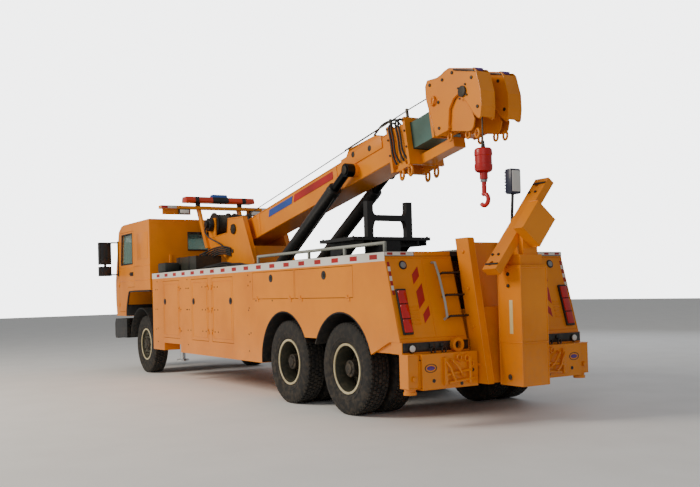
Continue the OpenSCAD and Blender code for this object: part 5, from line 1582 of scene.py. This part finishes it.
            hoses.pipe([self.along(tip - 0.10, y, 0.10), self.along(tip + 0.06, y + 0.04, 0.26),
                        self.along(tip + 0.30, y, 0.34),
                        self.along(tip + 0.52, y - 0.02, 0.25), self.along(tip + 0.60, y, 0.10)], 0.014, 8, 2)
        Workshop.piece("head_hoses", hoses, HOSE_RUBBER, "boom_tip")
        ropes = Shape()
        for side in (1, -1):
            y = self.guard_y * side
            arc = [math.radians(90 - 100 * i / 10) for i in range(11)]
            top = [self.along(tip - 1.90, y, 0.234), self.along(tip - 0.30, y, 0.236),
                   self.along(tip + 0.30, y, 0.222)]
            over = [self.along(su + 0.189 * math.cos(a), y, sw + 0.189 * math.sin(a)) for a in arc]
            ropes.pipe(top + over, 0.008, 8)
        Workshop.piece("head_ropes", ropes, WIRE_ROPE, "boom_tip")

    def hook(self) -> None:
        """Block bands, swivel nut, latch and rope of the hook."""
        low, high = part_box("hook_block")
        middle = Vector(((low[0] + high[0]) / 2, (low[1] + high[1]) / 2, 0))
        bottom = low[2]
        block_top = bottom + 0.270
        block = Shape()
        block.lathe([(0.0, block_top), (0.030, block_top), (0.080, block_top - 0.006), (0.094, block_top - 0.022),
                     (0.0975, block_top - 0.05), (0.0975, block_top - 0.085), (0.092, block_top - 0.092),
                     (0.092, block_top - 0.175), (0.0975, block_top - 0.182), (0.0975, bottom + 0.045),
                     (0.090, bottom + 0.018), (0.062, bottom + 0.002), (0.0, bottom)],
                    Matrix.Translation(middle), 48, closed=False)
        Workshop.piece("hook_block_shell", block, HOOK_ENAMEL, "hook_block", ("hook_block",))
        rope = Shape().rod(middle + Vector((0, 0, block_top - 0.01)), middle + Vector((0, 0, high[2])), 0.0085,
                           sides=12)
        Workshop.piece("hook_rope", rope, WIRE_ROPE, "hook_block")
        socket = Shape().rod(middle + Vector((0, 0, block_top - 0.002)), middle + Vector((0, 0, block_top + 0.075)),
                             0.026, 0.016, soft=0.002)
        Workshop.piece("rope_socket", socket, HUB_IRON, "hook_block")
        latch = Shape()
        centre = middle + Vector((0, 0, bottom - 0.290))
        latch.rod(middle + Vector((0, 0, bottom - 0.074)), middle + Vector((0, 0, bottom - 0.100)), 0.040, sides=6,
                  soft=0.003)
        latch.box(centre + Vector((-0.068, -0.010, 0.035)), centre + Vector((-0.010, 0.010, 0.048)), 0.003)
        Workshop.piece("hook_latch", latch, ZINC, "hook")

    def cylinders(self) -> None:
        """Glands, ports and pin caps of the lift cylinders."""
        base = self.datum.at(4.0, 0, 1.4)
        eye = self.along(self.rod_eye[0], 0, self.rod_eye[1])
        run = (eye - base).normalized()
        span = (eye - base).length
        up = Vector((0, 1, 0)).cross(run) * -1
        gland = Shape()
        for side in (1, -1):
            y = Vector((0, self.barrel_y * side, 0))
            end = base + y + run * (span - 0.400)
            gland.rod(end - run * 0.05, end + run * 0.010, 0.094, 0.090, soft=0.006)
            gland.rod(end - run * 0.09, end - run * 0.06, 0.0985, soft=0.003)
            start = base + y + run * 0.13
            gland.rod(start, start + run * 0.03, 0.0985, soft=0.003)
            gland.pipe([start + run * 0.20 + up * 0.10, start + run * 1.2 + up * 0.11, end - run * 0.30 + up * 0.11,
                        end - run * 0.08 + up * 0.095], 0.012, 8)
        Workshop.piece("lift_glands", gland, BLACK_ENAMEL, "lift_barrels")
        pins = Shape()
        for side in (1, -1):
            spot = base + Vector((0, self.barrel_y * side, 0))
            pins.rod(spot + Vector((0, 0.112 * side, 0)), spot + Vector((0, 0.128 * side, 0)), 0.055, soft=0.004)
        Workshop.piece("lift_base_pins", pins, HUB_IRON, "chassis")
        eyes = Shape()
        for side in (1, -1):
            spot = eye + Vector((0, 0.380 * side, 0))
            eyes.rod(spot - Vector((0, 0.004 * side, 0)), spot + Vector((0, 0.012 * side, 0)), 0.050, soft=0.004)
        Workshop.piece("lift_eye_pins", eyes, HUB_IRON, "lift_rods")

    def rest(self) -> None:
        """Bolts and pads of the boom rest."""
        at = self.datum.at
        pads = Shape()
        pads.box(at(0.795, -0.195, 2.370), at(0.895, 0.195, 2.3745), 0.002)
        for _, side in SIDES:
            for x in (0.79, 1.00, 1.30, 1.55):
                spot = at(x, 0.575 * side, 2.088)
                pads.stud(spot, (0, 0, 0.014), 0.014, sides=6)
        Workshop.piece("rest_pads", pads, HUB_IRON, "chassis")

    def build(self) -> None:
        """All of the crane."""
        dress = Workshop.dress
        dress(self.frame, BODY_ENAMEL, "tower", "gantry", "boom_outer", "boom_head")
        dress(self.frame, GREEN_ENAMEL, "boom_inner")
        dress(self.frame, BLACK_ENAMEL, "lift_barrels", "boom_rest")
        dress(self.frame, NITRIDED_BAR, "lift_rods")
        dress(self.frame, WINCH_ENAMEL, "winch_drums")
        dress(self.frame, HOOK_ENAMEL, "hook")
        self.tower()
        self.gantry()
        self.boom()
        self.head()
        self.hook()
        self.cylinders()
        self.rest()


# ---------------------------------------------------------------- underlift
@dataclass
class Underlift:
    """The mast, arm and crossbar at the back."""

    datum: Datum
    frame: dict
    pivot: tuple[float, float] = (-1.593, 0.469)
    lean: float = math.tan(math.radians(10))

    def mast_x(self, z: float) -> float:
        """Front face of the mast at a height.

        Args:
            z: The height.

        Returns:
            The place along the truck.
        """
        return -1.265 + (z - 0.400) * self.lean

    def mast(self) -> None:
        """Rail edges, lift cylinder and work lamp."""
        at = self.datum.at
        edges = Shape()
        for _, side in SIDES:
            for y in (0.305, 0.385):
                x0, x1 = self.mast_x(0.42), self.mast_x(1.94)
                edges.rod(at(x0 - 0.210, y * side, 0.42), at(x1 - 0.210, y * side, 1.94), 0.007, sides=8)
            for z in (0.60, 1.00, 1.40, 1.80):
                spot = at(self.mast_x(z) - 0.105, 0.385 * side, z)
                edges.stud(spot, (0, 0.012 * side, 0), 0.020, sides=6, soft=0.002)
        Workshop.piece("mast_edges", edges, BODY_ENAMEL, "chassis")
        ram = Shape()
        top, low = at(self.mast_x(1.90) - 0.030, -0.20, 1.90), at(self.mast_x(1.24) - 0.030, -0.20, 1.24)
        top.x -= 0.035
        low.x -= 0.035
        ram.rod(low, top, 0.034, soft=0.004)
        ram.rod(low, low.lerp(top, 0.04), 0.040, soft=0.003)
        Workshop.piece("underlift_ram", ram, BLACK_ENAMEL, "chassis")
        lamp = Shape()
        lamp.box(at(-1.155, -0.455, 2.450), at(-1.045, -0.305, 2.735), 0.018)
        for i in range(7):
            z = 2.475 + 0.036 * i
            lamp.box(at(-1.040, -0.445, z), at(-1.028, -0.315, z + 0.012), 0.002)
        Workshop.piece("work_lamp", lamp, NAVY_ENAMEL, "chassis")
        post = Shape()
        post.rod(at(-1.085, -0.345, 1.94), at(-1.095, -0.375, 2.46), 0.017)
        post.box(at(-1.125, -0.385, 1.935), at(-1.045, -0.305, 1.955), 0.004)
        Workshop.piece("work_lamp_post", post, BLACK_ENAMEL, "chassis")
        glass = Shape()
        glass.box(at(-1.162, -0.442, 2.475), at(-1.153, -0.318, 2.712), 0.006)
        Workshop.piece("work_lamp_glass", glass, WHITE_LENS, "chassis")

    def arm(self) -> None:
        """Edges, pin caps, marking tape and lock pins of the arm, extension and crossbar."""
        at = self.datum.at
        px, pz = self.pivot
        caps = Shape()
        for _, side in SIDES:
            spot = at(px, 0.1805 * side, pz)
            caps.stud(spot, (0, 0.012 * side, 0), 0.030, soft=0.003)
        for _, side in SIDES:
            for z in (pz + 0.95, pz + 1.07):
                spot = at(px, 0.180 * side, z)
                caps.stud(spot, (0, 0.014 * side, 0), 0.020, sides=6, soft=0.002)
        Workshop.piece("arm_pins", caps, HUB_IRON, "underlift_arm")
        edge = Shape()
        rear, front, half = px - 0.187, px + 0.153, 0.18
        for x in (rear, front):
            for y in (-half, half):
                edge.rod(at(x, y, pz - 0.085), at(x, y, pz + 1.155), 0.007, sides=8)
        for z in (pz + 1.135, pz + 0.36):
            loop = [at(rear, -half, z), at(rear, half, z), at(front, half, z), at(front, -half, z),
                    at(rear, -half, z)]
            edge.pipe(loop, 0.010, 8)
        Workshop.piece("arm_edges", edge, BODY_ENAMEL, "underlift_arm")
        tape = Shape()
        for _, side in SIDES:
            tape.box(at(rear + 0.13, half * side, pz + 0.45), at(rear + 0.18, (half + 0.002) * side, pz + 0.80))
        Workshop.piece("arm_tape", tape, PALE_TAPE, "underlift_arm")
        knob = Shape()
        swivel = pz + 1.581
        knob.rod(at(-1.895 + 0.012, 0, swivel), at(-1.878, 0, swivel), 0.052, soft=0.002)
        turn = Matrix.Translation(at(0, 0, swivel)) @ Matrix.Rotation(math.radians(-51), 4, "X")
        for side in (1, -1):
            for x in (-1.60, -1.51):
                spot = turn @ Vector((x, 0.43 * side, 0.045))
                end = turn @ Vector((x, 0.43 * side, 0.058))
                knob.rod(spot, end, 0.016, sides=6, soft=0.002)
            knob.box((-1.674, 0.555 * side - 0.012, 0.0445), (-1.482, 0.555 * side + 0.012, 0.052), 0.003, turn)
        Workshop.piece("crossbar_screws", knob, HUB_IRON, "underlift_crossbar")
        seams = Shape()
        for y in (-0.18, 0.18):
            for z in (-0.15, 0.15):
                seams.rod(turn @ Vector((-1.883, y, z)), turn @ Vector((-1.748, y, z)), 0.006, sides=8)
        for y in (-0.620, 0.620):
            loop = [turn @ Vector(c) for c in ((-1.676, y, -0.044), (-1.479, y, -0.044), (-1.479, y, 0.044),
                                               (-1.676, y, 0.044), (-1.676, y, -0.044))]
            seams.pipe(loop, 0.006, 6)
        Workshop.piece("crossbar_edges", seams, BODY_ENAMEL, "underlift_crossbar")

    def build(self) -> None:
        """All of the underlift."""
        Workshop.dress(self.frame, BODY_ENAMEL, "underlift_mast", "underlift_carriage", "underlift_arm",
                       "underlift_extension", "underlift_crossbar")
        self.mast()
        self.arm()


# ---------------------------------------------------------------- studio
@dataclass
class Studio:
    """Pale floor, soft lights and the camera."""

    datum: Datum
    eye: tuple[float, float, float] = (-8.3785, 6.3221, 1.4045)
    ahead: tuple[float, float, float] = (0.85487, -0.51862, 0.01520)
    up: tuple[float, float, float] = (-0.02663, -0.01461, 0.99954)
    lens: float = 44.37
    shift_x: float = 0.0117
    shift_y: float = 0.0498

    def camera(self) -> None:
        """The camera, at the angle that the truck is seen from."""
        data = bpy.data.cameras.new("camera")
        data.lens, data.sensor_width = self.lens, 36.0
        data.shift_x, data.shift_y = self.shift_x, self.shift_y
        data.clip_end = 200.0
        made = bpy.data.objects.new("camera", data)
        back = -Vector(self.ahead).normalized()
        up = (Vector(self.up) - back * Vector(self.up).dot(back)).normalized()
        turn = Matrix((up.cross(back), up, back)).transposed().to_4x4()
        made.matrix_world = Matrix.Translation(self.datum.at(*self.eye)) @ turn
        bpy.context.scene.collection.objects.link(made)
        bpy.context.scene.camera = made

    def floor(self) -> None:
        """A wide pale floor."""
        bm = bmesh.new()
        bmesh.ops.create_grid(bm, x_segments=1, y_segments=1, size=60.0)
        mesh = bpy.data.meshes.new("floor")
        bm.to_mesh(mesh)
        bm.free()
        mesh.materials.append(FLOOR.material())
        made = bpy.data.objects.new("floor", mesh)
        bpy.context.scene.collection.objects.link(made)

    def light(self, name: str, place: Point, aim: Point, size: float, power: float, tint: str = "#FFFFFF") -> None:
        """A soft square light.

        Args:
            name: Its name.
            place: Where it stands.
            aim: What it points at.
            size: The length of its side.
            power: Its power in watts.
            tint: Its colour.
        """
        data = bpy.data.lights.new(name, "AREA")
        data.shape, data.size, data.energy = "SQUARE", size, power
        data.color = linear(tint)[:3]
        made = bpy.data.objects.new(name, data)
        run = Vector(aim) - Vector(place)
        made.matrix_world = Matrix.Translation(Vector(place)) @ run.to_track_quat("-Z", "Y").to_matrix().to_4x4()
        bpy.context.scene.collection.objects.link(made)

    def build(self) -> None:
        """All of the studio."""
        self.camera()
        self.floor()
        self.light("key", (1.5, 13, 9), (0, 0, 1.3), 6.0, 1650, "#FFF4E4")
        self.light("fill", (-12, 7, 5), (-3, 0, 1.6), 7.0, 130)
        self.light("far", (4, -12, 8), (0, 0, 1.5), 8.0, 260, "#EEF4FF")
        world = bpy.data.worlds.new("studio")
        world.use_nodes = True
        nodes, links = world.node_tree.nodes, world.node_tree.links
        ground = nodes["Background"]
        ground.inputs[0].default_value = linear("#F6F7F8")
        # the backdrop looks white while it lights the truck only softly
        path, level = nodes.new("ShaderNodeLightPath"), nodes.new("ShaderNodeMapRange")
        level.inputs[3].default_value, level.inputs[4].default_value = 0.34, 5.0
        links.new(path.outputs["Is Camera Ray"], level.inputs[0])
        links.new(level.outputs[0], ground.inputs[1])
        bpy.context.scene.world = world


def main() -> None:
    """Builds the whole truck round its frame."""
    logging.basicConfig(level=logging.INFO, format="%(name)s: %(message)s")
    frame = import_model()
    datum = Datum()
    Studio(datum).build()
    RunningGear(datum, frame).build()
    Cab(datum, frame).build()
    Body(datum, frame).build()
    Crane(datum, frame).build()
    Underlift(datum, frame).build()


if __name__ == "__main__":
    main()
